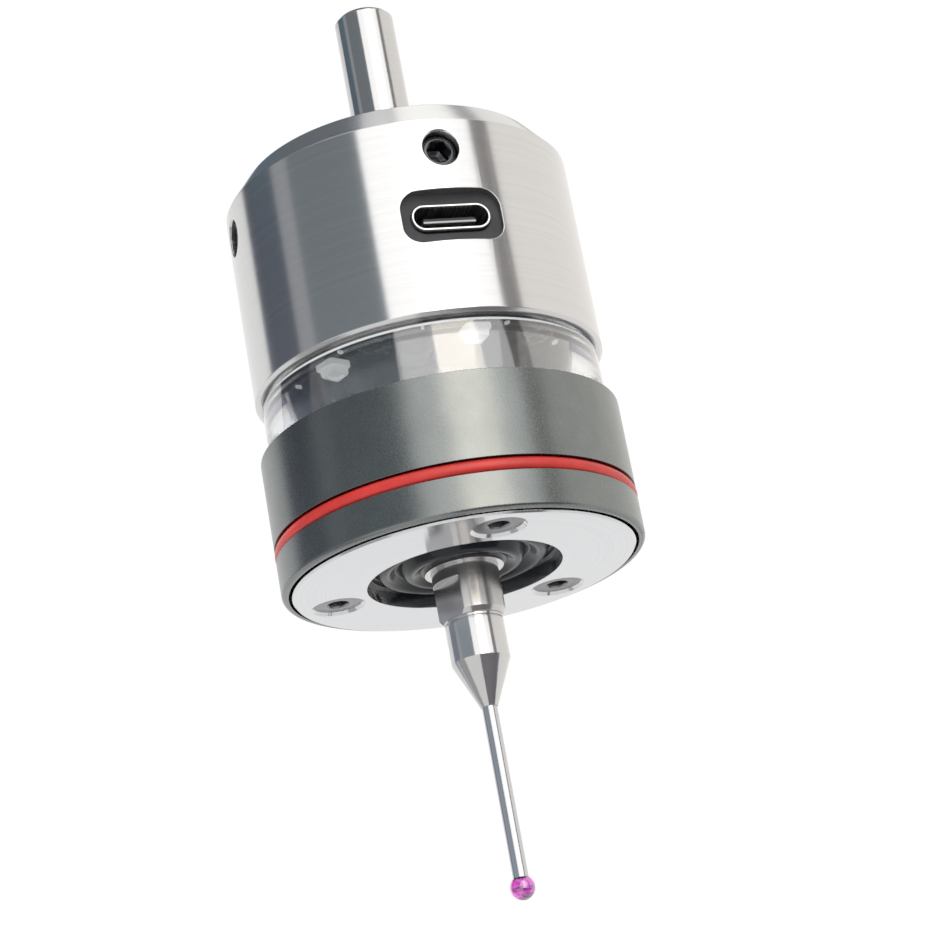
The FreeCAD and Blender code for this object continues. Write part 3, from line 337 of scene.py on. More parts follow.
# Shapes


def stand(name, mesh):
    """An object in the scene with this mesh."""
    made = bpy.data.objects.new(name, mesh)
    bpy.context.scene.collection.objects.link(made)
    return made


def skin(name, rings, ends, sharp):
    """A mesh over rings of points in mm, with its ends joined to each other, flat or pointed."""
    mesh = bpy.data.meshes.new(name)
    shape = bmesh.new()
    loops = [[shape.verts.new((x * MM, y * MM, z * MM)) for x, y, z in ring] for ring in rings]
    count = len(rings[0])
    pairs = list(zip(loops, loops[1:]))
    if ends == "joined":
        pairs.append((loops[-1], loops[0]))
    for one, two in pairs:
        for k in range(count):
            after = (k + 1) % count
            shape.faces.new((one[k], one[after], two[after], two[k]))
    if ends == "flat":
        shape.faces.new(loops[0])
        shape.faces.new(loops[-1])
    if ends == "pointed":
        for loop, ring in ((loops[0], rings[0]), (loops[-1], rings[-1])):
            tip = shape.verts.new((0, 0, ring[0][2] * MM))
            for k in range(count):
                shape.faces.new((loop[k], loop[(k + 1) % count], tip))
    bmesh.ops.recalc_face_normals(shape, faces=shape.faces)
    shape.to_mesh(mesh)
    shape.free()
    mesh.shade_smooth()
    mesh.set_sharp_from_angle(angle=math.radians(sharp))
    return mesh


def turned_piece(name, outline, finish, body, sharp=30):
    """A closed outline of (radius, height) in mm turned once round Z, riding on a body."""
    turns = [2 * math.pi * k / ROUND for k in range(ROUND)]
    rings = [[(radius * math.cos(a), radius * math.sin(a), height) for a in turns]
             for radius, height in outline]
    piece = stand(name, skin(name, rings, "joined", sharp))
    piece.data.materials.append(FINISHES[finish])
    if body:
        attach(piece, body)
    return piece


def arc(middle, radius, turns):
    """Points of an arc in a turned outline, at these degrees clockwise from straight up."""
    angles = [math.radians(turn) for turn in turns]
    return [(middle[0] + radius * math.sin(a), middle[1] + radius * math.cos(a)) for a in angles]


def rounded_line(points, bend, steps=14):
    """The points as a line with round corners, as (place, direction) pairs, and each arc's middle in it."""
    line, middles = [], []
    count = len(points)
    for k, (r, z) in enumerate(points):
        here = Vector((r, z))
        if k in (0, count - 1):
            other = Vector(points[1 if k == 0 else k - 1])
            way = (other - here if k == 0 else here - other).normalized()
            line.append((here, way))
            continue
        back = (Vector(points[k - 1]) - here).normalized()
        ahead = (Vector(points[k + 1]) - here).normalized()
        half = back.angle(ahead) / 2
        off = bend / math.tan(half)
        start, end = here + back * off, here + ahead * off
        centre = here + (back + ahead).normalized() * (bend / math.sin(half))
        first, last = start - centre, end - centre
        sweep = first.angle_signed(last)
        for j in range(steps + 1):
            turn = Matrix.Rotation(-sweep * j / steps, 2)
            line.append((centre + turn @ first, (turn @ (-back)).normalized()))
            if j == steps // 2:
                middles.append(len(line) - 1)
    return line, middles


def clip_beyond(line, radius):
    """The part of the line inside a radius, from its first end."""
    kept = [p for p in line if p[0] < radius - HAIR]
    before = [p for p in line if p[0] >= radius - HAIR][-1]
    share = (radius - kept[0][0]) / (before[0] - kept[0][0])
    return [(radius, kept[0][1] + share * (before[1] - kept[0][1]))] + kept


def clip_within(line, radius):
    """The part of the line outside a radius, from its last end."""
    kept = [p for p in line if p[0] > radius + HAIR]
    after = [p for p in line if p[0] <= radius + HAIR][0]
    share = (kept[-1][0] - radius) / (kept[-1][0] - after[0])
    return kept + [(radius, kept[-1][1] + share * (after[1] - kept[-1][1]))]


# The folded rubber


def bellows_folds():
    """The rubber bellows as four rings that meet at the folds: the lip ring rides on the stylus, and the
    other three stay in place.
    """
    half, fold_bend = 0.25, 0.548
    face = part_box("base_plate")[0].z / MM
    crest = face + 2.5
    folds = [(12.3, crest), (10.0, crest), (8.82, face + 0.79), (7.45, crest), (6.17, face + 0.57),
             (4.65, face + 1.63)]
    rim_bore, rim_reach, rim_foot, rim_top = 10.75, 12.6, face + 2, face + 3
    rim = [(rim_bore, rim_top), (rim_reach, rim_top), (rim_reach, rim_foot), (rim_bore, rim_foot)]
    lip_bore, lip_reach, lip_foot, lip_top, eased = 3.81, 4.9, face + 0.98, face + 2.28, 0.15
    lip = [(lip_reach, lip_top - eased), (lip_reach - eased, lip_top), (lip_bore, lip_top),
           (lip_bore, lip_foot), (lip_reach, lip_foot)]
    line, middles = rounded_line(folds, fold_bend)
    outer = [(p + Vector((-w.y, w.x)) * half) for p, w in line]
    inner = [(p - Vector((-w.y, w.x)) * half) for p, w in line]
    cuts = [0, middles[1], middles[2], middles[3], len(line) - 1]
    ways = [
        ("bellows_rim_fold", "housing", "plunger", 2.28, 1.08),
        ("bellows_outer_fold", "plunger", "pivot_ball", 1.08, 2.18),
        ("bellows_inner_fold", "pivot_ball", "stylus", 2.18, 0.98),
        ("bellows_lip_fold", None, "stylus", None, None),
    ]
    for (name, first, second, start, end), low, high in zip(ways, cuts, cuts[1:]):
        one = [tuple(p) for p in outer[low:high + 1]]
        two = [tuple(p) for p in inner[low:high + 1]]
        if name == "bellows_rim_fold":
            one, two = clip_beyond(one, rim_bore), clip_beyond(two, rim_bore)
            top, bottom = (one, two) if one[0][1] > two[0][1] else (two, one)
            outline = top[::-1] + rim + bottom
        elif name == "bellows_lip_fold":
            one, two = clip_within(one, lip_reach), clip_within(two, lip_reach)
            top, bottom = (one, two) if one[-1][1] > two[-1][1] else (two, one)
            outline = top + lip + bottom[::-1]
        else:
            outline = one + two[::-1]
        piece = turned_piece(name, outline, "black_rubber", None if first else second)
        if first:
            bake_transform(piece)
        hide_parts("bellows")


bellows_folds()


# Geometry trees


def tree_inputs(name, sizes):
    """A new geometry tree with named inputs from (name, kind, default), and those inputs inside it."""
    tree = bpy.data.node_groups.new(name, "GeometryNodeTree")
    tree.interface.new_socket("Geometry", in_out="INPUT", socket_type="NodeSocketGeometry")
    for size, kind, default in (*sizes, ("Finish", "NodeSocketMaterial", None)):
        made = tree.interface.new_socket(size, in_out="INPUT", socket_type=kind)
        if default is not None:
            made.default_value = default
    tree.interface.new_socket("Geometry", in_out="OUTPUT", socket_type="NodeSocketGeometry")
    return tree, step(tree, "NodeGroupInput").outputs


def finish_tree(tree, geometry, finish):
    """The end of a tree: real copies with their material on."""
    whole = step(tree, "GeometryNodeRealizeInstances", [("Geometry", geometry)])
    dressed = step(tree, "GeometryNodeSetMaterial", [("Geometry", whole.outputs[0]), ("Material", finish)])
    tree.links.new(dressed.outputs[0], step(tree, "NodeGroupOutput").inputs[0])
    return tree


def evaluated_mesh(made):
    """The object's mesh with its modifiers applied, as a new plain mesh."""
    bpy.context.view_layer.update()
    return bpy.data.meshes.new_from_object(made.evaluated_get(bpy.context.evaluated_depsgraph_get()))


def grown(name, tree, values, source=None):
    """A piece whose plain mesh is what a geometry tree makes with these input values."""
    holder = stand(name + "_holder", source or bpy.data.meshes.new(name + "_holder"))
    modifier = holder.modifiers.new("grow", "NODES")
    modifier.node_group = tree
    for item in tree.interface.items_tree:
        if item.item_type == "SOCKET" and item.in_out == "INPUT" and item.name in values:
            modifier[item.identifier] = values[item.name]
    made = evaluated_mesh(holder)
    holder.modifiers.remove(modifier)
    bpy.data.objects.remove(holder)
    made.name = name
    return stand(name, made)


def spring_tree():
    """A coil of round wire about Z."""
    tree, ins = tree_inputs("coil spring", [
        ("Coil Radius", "NodeSocketFloat", 0.0037), ("Wire Radius", "NodeSocketFloat", 0.0004),
        ("Turns", "NodeSocketFloat", 5.0), ("Height", "NodeSocketFloat", 0.01),
        ("Top", "NodeSocketFloat", 0.0)])
    rise = sums(tree, "MULTIPLY_ADD", ins["Wire Radius"], -2.0, ins["Height"])
    coil = step(tree, "GeometryNodeCurveSpiral", [
        ("Resolution", 40), ("Rotations", ins["Turns"]), ("Start Radius", ins["Coil Radius"]),
        ("End Radius", ins["Coil Radius"]), ("Height", rise)])
    wire = step(tree, "GeometryNodeCurvePrimitiveCircle", [
        ("Resolution", 16), ("Radius", ins["Wire Radius"])])
    body = step(tree, "GeometryNodeCurveToMesh", [
        ("Curve", coil.outputs[0]), ("Profile Curve", wire.outputs[0]), ("Fill Caps", True)])
    foot = sums(tree, "SUBTRACT", ins["Top"], ins["Height"])
    lift = joined(tree, z=sums(tree, "ADD", foot, ins["Wire Radius"]))
    moved = step(tree, "GeometryNodeTransform", [("Geometry", body.outputs[0]), ("Translation", lift)])
    return finish_tree(tree, moved.outputs[0], ins["Finish"])


def ring_of_copies_tree():
    """Copies of one part round Z, each turned to face out from the axis."""
    tree, ins = tree_inputs("ring of copies", [
        ("Count", "NodeSocketInt", 3), ("Circle Radius", "NodeSocketFloat", 0.01),
        ("First Angle", "NodeSocketFloat", 0.0), ("Level", "NodeSocketFloat", 0.0)])
    pitch = sums(tree, "DIVIDE", 2 * math.pi, ins["Count"])
    number = step(tree, "GeometryNodeInputIndex").outputs[0]
    angle = sums(tree, "MULTIPLY_ADD", number, pitch, ins["First Angle"])
    way = joined(tree, sums(tree, "COSINE", angle), sums(tree, "SINE", angle))
    out = step(tree, "ShaderNodeVectorMath", [(0, way), ("Scale", ins["Circle Radius"])], operation="SCALE")
    place = vector_sums(tree, "ADD", out.outputs[0], joined(tree, z=ins["Level"]))
    spots = step(tree, "GeometryNodePoints", [("Count", ins["Count"]), ("Position", place)])
    copies = step(tree, "GeometryNodeInstanceOnPoints", [
        ("Points", spots.outputs[0]), ("Instance", ins["Geometry"]), ("Rotation", joined(tree, z=angle))])
    return finish_tree(tree, copies.outputs[0], ins["Finish"])


def row_of_copies_tree():
    """Copies of one part in a straight row along X, centred on the middle."""
    tree, ins = tree_inputs("row of copies", [
        ("Count", "NodeSocketInt", 12), ("Pitch", "NodeSocketFloat", 0.0005)])
    length = sums(tree, "MULTIPLY", sums(tree, "SUBTRACT", ins["Count"], 1.0), ins["Pitch"])
    start = joined(tree, sums(tree, "MULTIPLY", length, -0.5))
    line = step(tree, "GeometryNodeMeshLine", [
        ("Count", ins["Count"]), ("Start Location", start), ("Offset", joined(tree, ins["Pitch"]))])
    copies = step(tree, "GeometryNodeInstanceOnPoints", [
        ("Points", line.outputs[0]), ("Instance", ins["Geometry"])])
    return finish_tree(tree, copies.outputs[0], ins["Finish"])


ring_of_copies = ring_of_copies_tree()
row_of_copies = row_of_copies_tree()


def pressure_coil():
    """The spring that presses the plunger down, riding on the housing."""
    spring_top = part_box("pressure_spring")[1].z
    spring = grown("pressure_coil", spring_tree(), {
        "Coil Radius": 3.7 * MM, "Wire Radius": 0.4 * MM, "Turns": 5.0, "Height": 10.0 * MM,
        "Top": spring_top, "Finish": FINISHES["spring_steel"],
    })
    spring.data.shade_smooth()
    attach(spring, "housing")
    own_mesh(spring)
    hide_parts("pressure_spring")


pressure_coil()


# Screws, lamps and small parts

CENTRING_CIRCLE = 11.0
CENTRING_LEVEL = -6.6
SHANK_SCREW_CIRCLE = 8.0
BOARD_HEAD = 1.2


def round_reach(radius):
    """The reach of a round section at any angle."""
    return lambda angle: radius


def hex_reach(across):
    """The reach of a hexagon with this size across its flats."""
    return lambda angle: across / 2 / math.cos((angle + math.pi / 6) % (math.pi / 3) - math.pi / 6)


def box_reach(long, wide, crisp=9):
    """The reach of an oblong with eased corners."""
    def reach(angle):
        over_x = abs(math.cos(angle) / (long / 2))
        over_y = abs(math.sin(angle) / (wide / 2))
        return (over_x ** crisp + over_y ** crisp) ** (-1 / crisp)
    return reach


def round_steps(*steps):
    """Round sections from (radius, height) pairs in mm."""
    return [(round_reach(radius), height) for radius, height in steps]


def stacked(name, sections, count=48, sharp=25):
    """One small part from sections of (reach, height) in mm, closed at both ends with a point on the axis."""
    turns = [2 * math.pi * k / count for k in range(count)]
    rings = [[(reach(a) * math.cos(a), reach(a) * math.sin(a), height) for a in turns]
             for reach, height in sections]
    return skin(name, rings, "pointed", sharp)


def key_hole(across, depth):
    """The sections of a hexagon socket sunk in a face at height zero, from its bottom out."""
    bottom, mouth, ease = 0.32, 0.16, 0.03
    return [(round_reach(across * bottom), depth + across * 0.12), (hex_reach(across), depth),
            (hex_reach(across), mouth), (round_reach(across / math.sqrt(3) + ease), 0.0)]


def thread(radius, pitch, start, end):
    """The sections of a screw's thread between two heights, ridge by ridge."""
    turns = max(1, int((end - start) / pitch))
    root = round_reach(radius - 0.3 * pitch)
    made = []
    for k in range(turns):
        made += [(root, start + k * pitch), (round_reach(radius), start + (k + 0.5) * pitch)]
    return made + [(root, start + turns * pitch)]


def countersunk_screw():
    """A countersunk socket screw with its face down at height zero."""
    head, neck, shaft, pitch, end, point = 2.8, 1.36, 1.5, 0.5, 6.3, 1.1
    sections = key_hole(2.2, 1.3)
    sections += round_steps((head - 0.14, 0), (head - 0.04, 0.03), (head, 0.1), (shaft, neck))
    sections += thread(shaft, pitch, 1.5, end - 0.1)
    return stacked("countersunk_screw", sections + round_steps((point, end)))


def headless_screw():
    """A headless screw along X, from its point at zero out to its key hole."""
    shaft, pitch, point = 2.0, 0.7, 1.4
    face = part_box("centring_screws")[1].x / MM - CENTRING_CIRCLE
    sections = key_hole(2.4, 2.2)
    sections += round_steps((shaft - 0.4, 0), (shaft - 0.22, 0.06), (shaft, 0.26))
    sections += thread(shaft, pitch, 0.3, face - 0.7)
    mesh = stacked("headless_screw", sections + round_steps((point, face)))
    mesh.transform(Matrix.Translation((face * MM, 0, 0)) @ Matrix.Rotation(math.radians(-90), 4, "Y"))
    return mesh


def cap_screw():
    """A low cylinder-head screw with its face up at height zero."""
    head, head_height, shaft, pitch, end, point = 2.75, 2.0, 1.5, 0.5, 8.0, 1.1
    sections = key_hole(2.0, 1.2)
    sections += round_steps((head - 0.25, 0), (head - 0.1, 0.05), (head, 0.2), (head, head_height),
                            (shaft, head_height))
    sections += thread(shaft, pitch, head_height + 0.1, end - 0.1)
    mesh = stacked("cap_screw", sections + round_steps((point, end)))
    mesh.transform(Matrix.Rotation(math.pi, 4, "X"))
    return mesh


def board_screw(length):
    """A small board screw with its head below height zero."""
    head, head_height, shaft = 1.6, BOARD_HEAD, 1.0
    sections = key_hole(1.3, 0.6)
    sections += round_steps((head - 0.2, 0), (head - 0.05, 0.08), (head, 0.25), (head, head_height),
                            (shaft, head_height), (shaft, head_height + 0.3),
                            (shaft - 0.05, head_height + length))
    mesh = stacked("board_screw", sections, 36)
    mesh.transform(Matrix.Translation((0, 0, -head_height * MM)))
    return mesh


def lamp_block():
    """A lamp that shines down: a moulded block with a sunk round window."""
    window = round_steps((0.3, 0.16), (0.6, 0.18), (0.76, 0.2), (0.84, 0.02))
    block = [(box_reach(1.9, 2.0), 0.0), (box_reach(2.06, 2.16), 0.1), (box_reach(2.2, 2.3), 0.7),
             (box_reach(2.6, 2.8), 0.76), (box_reach(2.6, 2.8), 1.3)]
    return stacked("lamp_block", window + block)


def chip_part():
    """A small soldered part with an eased face."""
    return stacked("chip_part", [
        (box_reach(0.5, 0.26), -0.28), (box_reach(0.58, 0.34), -0.26), (box_reach(0.6, 0.36), 0.02)], 24)


def placed_round(name, part, node, finish, count, circle, first, level):
    """Copies of one part on a circle that stand in for a node, or go beside the others without one."""
    piece = grown(name, ring_of_copies, {
        "Count": count, "Circle Radius": circle * MM, "First Angle": math.radians(first),
        "Level": level * MM, "Finish": FINISHES[finish],
    }, part)
    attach(piece, "housing")
    if node:
        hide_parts(node)


def pieces_on_circles():
    """The screws, lamps and small soldered parts, each set grown round the axis."""
    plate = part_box("base_screws")[0].z / MM
    placed_round("base_screw_set", countersunk_screw(), "base_screws", "screw_steel", 3, 15.0, 30, plate)
    placed_round("centring_screw_set", headless_screw(), "centring_screws", "black_screw", 4,
                 CENTRING_CIRCLE, 0, CENTRING_LEVEL)
    placed_round("shank_screw_set", cap_screw(), "shank_screws", "black_screw", 3, SHANK_SCREW_CIRCLE, 90,
                 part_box("shank_screws")[1].z / MM)
    low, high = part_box("board_screws")
    placed_round("board_screw_set", board_screw((high.z - low.z) / MM - BOARD_HEAD), "board_screws",
                 "black_screw", 5, 14.9, 18, low.z / MM + BOARD_HEAD)
    placed_round("lamp_set", lamp_block(), "board_lights", "lamp", 5, 13.4, -82,
                 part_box("board_lights")[0].z / MM)
    # The small soldered parts take the glowing lamp finish: their pale glow is painted light.
    placed_round("solder_parts", chip_part(), None, "lamp", 10, 15.0, 38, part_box("light_board")[0].z / MM)


pieces_on_circles()


# The clear ring


def lamp_ring():
    """The clear ring with eased shoulders where it meets both housings, and its frosted upper edge."""
    bore, spigot, shoulder, outside = 16.8, 17.85, 18.7, 19.3
    ease, top_round, foot_round, film = 0.1, 0.35, 0.3, 0.02
    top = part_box("upper_housing")[0].z / MM
    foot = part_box("lower_housing")[1].z / MM
    low, high = (corner.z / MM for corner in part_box("light_ring"))
    top_middle = (outside - top_round, top - 0.8)
    foot_middle = (outside - foot_round, foot + foot_round)
    outline = [(bore, high), (spigot - ease, high), (spigot, high - ease), (spigot, top), (shoulder, top),
               (shoulder, top - 0.4), (shoulder + 0.05, top - 0.45)]
    outline += arc(top_middle, top_round, range(0, 91, 15))
    outline += arc(foot_middle, foot_round, range(90, 181, 30))
    outline += [(spigot, foot), (spigot, low + ease), (spigot - ease, low), (bore, low)]
    piece = turned_piece("lamp_ring", outline, "clear_plastic", "housing", 40)
    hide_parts("light_ring")
    edge = [(shoulder + film, top - 0.42)]
    edge += arc(top_middle, top_round + film, (-20, *range(0, 91, 15)))
    edge += [(outside + 0.01, top - 0.84), (outside - 0.1, top - 0.84), (shoulder + film, top - 0.6)]
    turned_piece("frosted_edge", edge, "frosted_plastic", "housing", 40)


lamp_ring()


# The data socket


def oblong(width, height, corner, steps=10):
    """Points of an oblong with round corners, in mm, counterclockwise from its lower right corner."""
    points = []
    for side_x, side_z, first in ((1, -1, -90), (1, 1, 0), (-1, 1, 90), (-1, -1, 180)):
        cx, cz = side_x * (width / 2 - corner), side_z * (height / 2 - corner)
        for k in range(steps + 1):
            a = math.radians(first + 90 * k / steps)
            points.append((cx + corner * math.cos(a), cz + corner * math.sin(a)))
    return points


def inset(size, by):
    """An oblong's width, height and corner, made smaller all round."""
    width, height, corner = size
    return width - 2 * by, height - 2 * by, corner - by


def bar_along_y(name, loops, ends="flat"):
    """A mesh through oblong loops of (width, height, corner, y), centred at z zero."""
    rings = [[(x, y, z) for x, z in oblong(width, height, corner)] for width, height, corner, y in loops]
    return skin(name, rings, ends, 30)


def fixed_piece(name, mesh, finish, slot, *stands_for, lift=0.0):
    """A piece on the housing from a mesh that is lifted to its level."""
    mesh.transform(Matrix.Translation((0, 0, lift * MM)))
    piece = stand(name, mesh)
    mesh.materials.append(FINISHES[finish])
    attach(piece, "housing")
    if stands_for:
        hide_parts(*stands_for)


def data_socket():
    """The socket's drawn shell, its tongue with the bright nose strip, and twelve contacts on the blade."""
    low, high = (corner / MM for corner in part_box("socket_shell"))
    level, front, back = (low.z + high.z) / 2 + 0.05, low.y, high.y
    outside, wall = (8.94, 3.06, 1.5), 0.28
    drawn = [(0, back), (0, front + 0.1), (0.04, front + 0.02), (0.08, front), (wall - 0.07, front),
             (wall - 0.03, front + 0.02), (wall, front + 0.1), (wall, back)]
    shell = bar_along_y("drawn_shell", [(*inset(outside, by), y) for by, y in drawn], "joined")
    fixed_piece("drawn_shell", shell, "socket_steel", "socket_steel", "socket_shell", lift=level)

    nose, root = front + 0.9, back - 1.4
    root_size = (8.3, 2.5, 1.2)
    blade = bar_along_y("tongue_blade", [
        (5.9, 0.44, 0.2, nose), (6.1, 0.62, 0.28, nose + 0.12), (6.1, 0.66, 0.3, root), (*root_size, root),
        (*root_size, back)])
    fixed_piece("tongue_blade", blade, "black_plastic", "black_plastic", "socket_tongue", lift=level)
    strip_size, strip_drop = (6.06, 0.3, 0.13), 0.2
    strip = bar_along_y("nose_strip", [
        (5.96, 0.2, 0.09, nose - 0.05), (*strip_size, nose), (*strip_size, nose + 0.4)])
    fixed_piece("nose_strip", strip, "screw_steel", "socket_steel", lift=level - strip_drop)

    contact_size, contact_pitch = (0.24, 0.72, 0.05), 0.5
    contact = bar_along_y("contact_strip", [
        (0.2, 0.66, 0.04, nose + 0.3), (*contact_size, nose + 0.4), (*contact_size, nose + 3.6)])
    contact.transform(Matrix.Translation((0, 0, level * MM)))
    contacts = grown("socket_contacts", row_of_copies, {
        "Count": 12, "Pitch": contact_pitch * MM, "Finish": FINISHES["socket_steel"]}, contact)
    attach(contacts, "housing")


data_socket()


# The steel housing


def housing_cutters():
    """The solids that cut the port window and the screw holes, as objects."""
    window_size, window_level = (11.4, 6.25, 2.15), -14.76
    hole, flare = 2.05, 2.45
    window = bar_along_y("port_window", [(*window_size, -21), (*window_size, -16)])
    window.transform(Matrix.Translation((0, 0, window_level * MM)))
    meshes = [window]
    for azimuth in (-90, 0, 90, 180):
        bore = stacked("screw_bore", round_steps((hole, 10), (hole, 19.8), (flare, 20.2), (flare, 21)), 72)
        bore.transform(Matrix.Translation((0, 0, CENTRING_LEVEL * MM))
                       @ Matrix.Rotation(math.radians(azimuth), 4, "Z")
                       @ Matrix.Rotation(math.radians(90), 4, "Y"))
        meshes.append(bore)
    for azimuth in (90, 210, 330):
        a = math.radians(azimuth)
        for radius, low, high in ((3.25, -2.2, 1), (2.1, -5, 1)):
            bore = stacked("cap_bore", round_steps((radius, low), (radius, high)), 72)
            bore.transform(Matrix.Translation((SHANK_SCREW_CIRCLE * MM * math.cos(a),
                                               SHANK_SCREW_CIRCLE * MM * math.sin(a), 0)))
            meshes.append(bore)
    return [stand(mesh.name, mesh) for mesh in meshes]


def true_round(mesh, radius):
    """Exact outward normals on the outer round, so that cuts through it leave no dents in its shine."""
    near = 0.0000008
    normals = [Vector(n.vector) for n in mesh.corner_normals]
    for face in mesh.polygons:
        spots = [mesh.vertices[v].co for v in face.vertices]
        if all(abs(math.hypot(s.x, s.y) - radius) < near for s in spots):
            for loop in face.loop_indices:
                spot = mesh.vertices[mesh.loops[loop].vertex_index].co
                normals[loop] = Vector((spot.x, spot.y, 0)).normalized()
    mesh.normals_split_custom_set([tuple(n) for n in normals])


def steel_housing():
    """The turned upper housing with a crisp port window and screw holes cut through it."""
    outside, length, bevel, bevel_drop, edge = 20.0, 26.3, 2.4, 3.1, 0.35
    bore, top_wall, room, shelf, cavity = 4.6, 3.6, 11.7, 11.8, 17.9
    outline = [(bore, 0), (outside - bevel, 0), (outside, -bevel_drop), (outside, edge - length),
               (outside - edge, -length), (cavity, -length), (cavity, -shelf), (room, -shelf),
               (room, -top_wall), (bore, -top_wall)]
    piece = turned_piece("steel_housing", outline, "housing_steel", None)
    tools = housing_cutters()
    for made in tools:
        cutter = piece.modifiers.new(made.name, "BOOLEAN")
        cutter.operation = "DIFFERENCE"
        cutter.solver = "EXACT"
        cutter.object = made
    mesh = evaluated_mesh(piece)
    piece.modifiers.clear()
    piece.data = mesh
    for made in tools:
        bpy.data.objects.remove(made)
    mesh.shade_smooth()
    mesh.set_sharp_from_angle(angle=math.radians(20))
    true_round(mesh, outside * MM)
    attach(piece, "housing")
    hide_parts("upper_housing")


steel_housing()


# Studio

FLOOR_LEVEL = -0.45
FADE = (0.36, 0.5)


def bare_tree(owner):
    """The owner's node tree, emptied."""
    owner.use_nodes = True
    owner.node_tree.nodes.clear()
    return owner.node_tree


def glow(name, colour, strength, fade_to=None):
    """A plain glow that may fade to another strength between two heights."""
    finish = bpy.data.materials.new(name)
    tree = bare_tree(finish)
    light = step(tree, "ShaderNodeEmission", [("Color", (*colour, 1)), ("Strength", strength)])
    if fade_to is not None:
        level = spread(tree, split(tree, place_of(tree))[2], strength, fade_to, *FADE)
        tree.links.new(level, light.inputs["Strength"])
    step(tree, "ShaderNodeOutputMaterial", [(0, light.outputs[0])])
    return finish


def card(name, first, last, colour, strength, fade_to=None, low=FLOOR_LEVEL, high=1.8, radius=1.5,
         top_radius=None, shining=True):
    """A curved card round the probe that shows in clear pieces and, unless told not to, in what shines."""
    count = max(2, int(abs(last - first) / 2))
    mesh = bpy.data.meshes.new(name)
    angles = [math.radians(first + (last - first) * k / count) for k in range(count + 1)]
    ends = ((radius, low), (radius if top_radius is None else top_radius, high))
    verts = [(r * math.cos(a), r * math.sin(a), z) for a in angles for r, z in ends]
    faces = [(2 * k, 2 * k + 1, 2 * k + 3, 2 * k + 2) for k in range(count)]
    mesh.from_pydata(verts, [], faces)
    mesh.materials.append(glow(name + "_glow", colour, strength, fade_to))
    made = stand(name, mesh)
    made.visible_camera = made.visible_diffuse = made.visible_shadow = False
    made.visible_glossy = shining


def reflected_cards():
    """The panels and cards round the probe, which make the bands in its steel."""
    roof_white = (1, 0.99, 0.97)
    on_floor = {"low": FLOOR_LEVEL + 0.005, "high": FLOOR_LEVEL + 0.01, "radius": 1.45, "top_radius": 0.2}
    card("front_panel", -126, -50, (1, 1, 1), 1.5)
    card("front_core", -99.6, -70, (1, 0.95, 0.88), 3.1, radius=1.45)
    card("stand_strip", -50, -36, (1, 0.96, 0.94), 0.3)
    card("right_panel", -36, 72.4, (1, 0.975, 0.94), 1.02)
    card("left_panel", 72.4, 134, (1, 1, 1), 0.95, high=0.93)
    card("slate_card", 134, 168, (0.72, 0.8, 1), 0.42, 0.15)
    card("pale_strip", 168, 182, (0.92, 0.95, 1), 0.5, 0.4)
    card("grey_card", 182, 235.5, (0.8, 0.91, 1), 0.48, 0.25)
    card("left_roof_dark", 60, 100, (0.62, 0.8, 1), 0.2, low=0.94, high=1.8, top_radius=0.42)
    card("left_roof_grey", 100, 168, (0.84, 0.9, 1), 0.2, low=0.94, high=1.87, top_radius=0.35)
    card("teal_card", 140, 168, (0.5, 0.82, 1), 0.26, low=0.79, high=0.94, radius=1.49)
    card("roof_light", -40, 200, roof_white, 1.38, low=1.9, high=1.95, radius=0.54, top_radius=0.01)
    card("right_roof_light", -40, 60, roof_white, 1.38, low=1.88, high=1.9, radius=0.97, top_radius=0.54)
    card("roof_strip", 15, 60, (1, 0.97, 0.97), 0.42, low=1.75, high=1.88, radius=1.2, top_radius=0.97)
    card("low_dark", -107, -23, (0.95, 0.9, 1), 0.2, **on_floor)
    card("low_grey", 150, 186, (1, 1, 1), 0.45, **on_floor)
    card("ball_backdrop", 15, 130, (0.8, 0.7, 1), 0.3, low=0.0, high=0.52, radius=1.4, shining=False)


def pale_floor():
    """A wide pale floor that catches the shadow and fades into the white behind."""
    reach, fade_start, fade_end = 12, 0.5, 1.6
    finish = bpy.data.materials.new("pale_floor")
    tree = bare_tree(finish)
    near = step(tree, "ShaderNodeBsdfDiffuse", [("Color", (0.9, 0.9, 0.9, 1))])
    far = step(tree, "ShaderNodeEmission", [("Color", (1, 1, 1, 1)), ("Strength", 1.0)])
    away = vector_sums(tree, "LENGTH", place_of(tree))
    share = step(tree, "ShaderNodeMapRange", [("Value", away), ("From Min", fade_start),
                                              ("From Max", fade_end)], interpolation_type="SMOOTHSTEP")
    mix = step(tree, "ShaderNodeMixShader", [
        (0, share.outputs["Result"]), (1, near.outputs[0]), (2, far.outputs[0])])
    step(tree, "ShaderNodeOutputMaterial", [(0, mix.outputs[0])])
    mesh = bpy.data.meshes.new("floor")
    corners = [(-reach, -reach), (reach, -reach), (reach, reach), (-reach, reach)]
    mesh.from_pydata([(x, y, FLOOR_LEVEL) for x, y in corners], [], [(0, 1, 2, 3)])
    mesh.materials.append(finish)
    stand("floor", mesh)


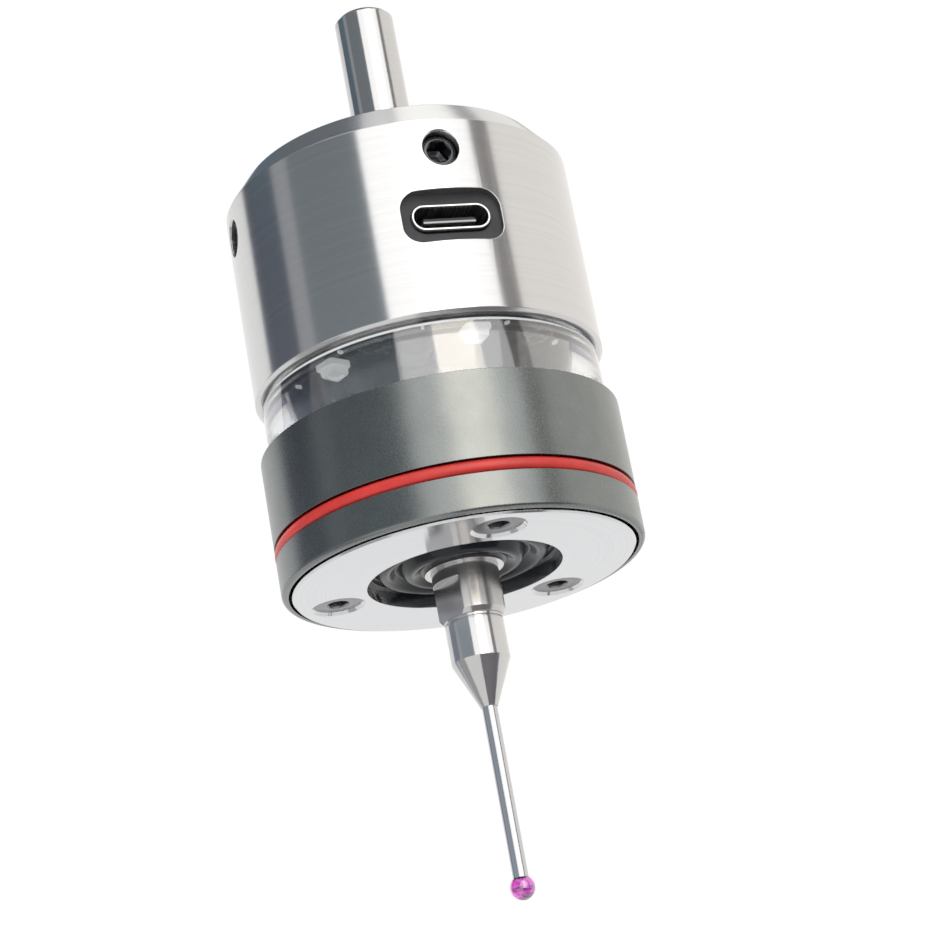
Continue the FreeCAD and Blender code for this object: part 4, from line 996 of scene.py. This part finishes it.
def white_surround():
    """A world that is white to the camera and to what shines or is clear, and a softer fill to the rest."""
    world = bpy.data.worlds.new("studio")
    bpy.context.scene.world = world
    tree = bare_tree(world)
    rays = step(tree, "ShaderNodeLightPath").outputs
    seen = sums(tree, "MAXIMUM", rays["Is Camera Ray"], rays["Is Glossy Ray"])
    clear = sums(tree, "MAXIMUM", seen, rays["Is Transmission Ray"])
    soft_fill = step(tree, "ShaderNodeBackground", [("Color", (1, 1, 1, 1)), ("Strength", 0.6)])
    white = step(tree, "ShaderNodeBackground", [("Color", (1, 1, 1, 1)), ("Strength", 1.0)])
    mixed = step(tree, "ShaderNodeMixShader", [(0, clear), (1, soft_fill.outputs[0]), (2, white.outputs[0])])
    step(tree, "ShaderNodeOutputWorld", [(0, mixed.outputs[0])])


def soft_lamp(name, place, strength, spread_degrees):
    """A broad soft lamp that gives light but no reflection."""
    data = bpy.data.lights.new(name, "SUN")
    data.energy = strength
    data.angle = math.radians(spread_degrees)
    made = stand(name, data)
    made.location = place
    made.rotation_mode = "QUATERNION"
    made.rotation_quaternion = Vector(place).to_track_quat("Z", "Y")
    made.visible_glossy = False
    made.visible_transmission = False


def camera_from_below():
    """The camera low in front and to the left, looking up at the probe and rolled to one side."""
    place = (-0.079844, -0.259523, -0.133576)
    to_the_right, upward, rolled = 17.568, 19.644, 10.578
    lens = bpy.data.cameras.new("camera")
    lens.lens = 99.18
    lens.sensor_width = 36
    lens.clip_start = 0.01
    lens.clip_end = 60
    camera = stand("camera", lens)
    camera.matrix_world = (Matrix.Translation(place)
                           @ Matrix.Rotation(math.radians(-to_the_right), 4, "Z")
                           @ Matrix.Rotation(math.radians(90 + upward), 4, "X")
                           @ Matrix.Rotation(math.radians(-rolled), 4, "Z"))
    bpy.context.scene.camera = camera
    bpy.context.scene.view_settings.view_transform = "Standard"


reflected_cards()
pale_floor()
white_surround()
soft_lamp("key_lamp", (-1.2, -1.0, 0.9), 1.2, 40)
soft_lamp("fill_lamp", (0.9, -1.2, 0.5), 0.6, 60)
soft_lamp("back_lamp", (0.3, 1.3, 0.8), 0.7, 60)
camera_from_below()
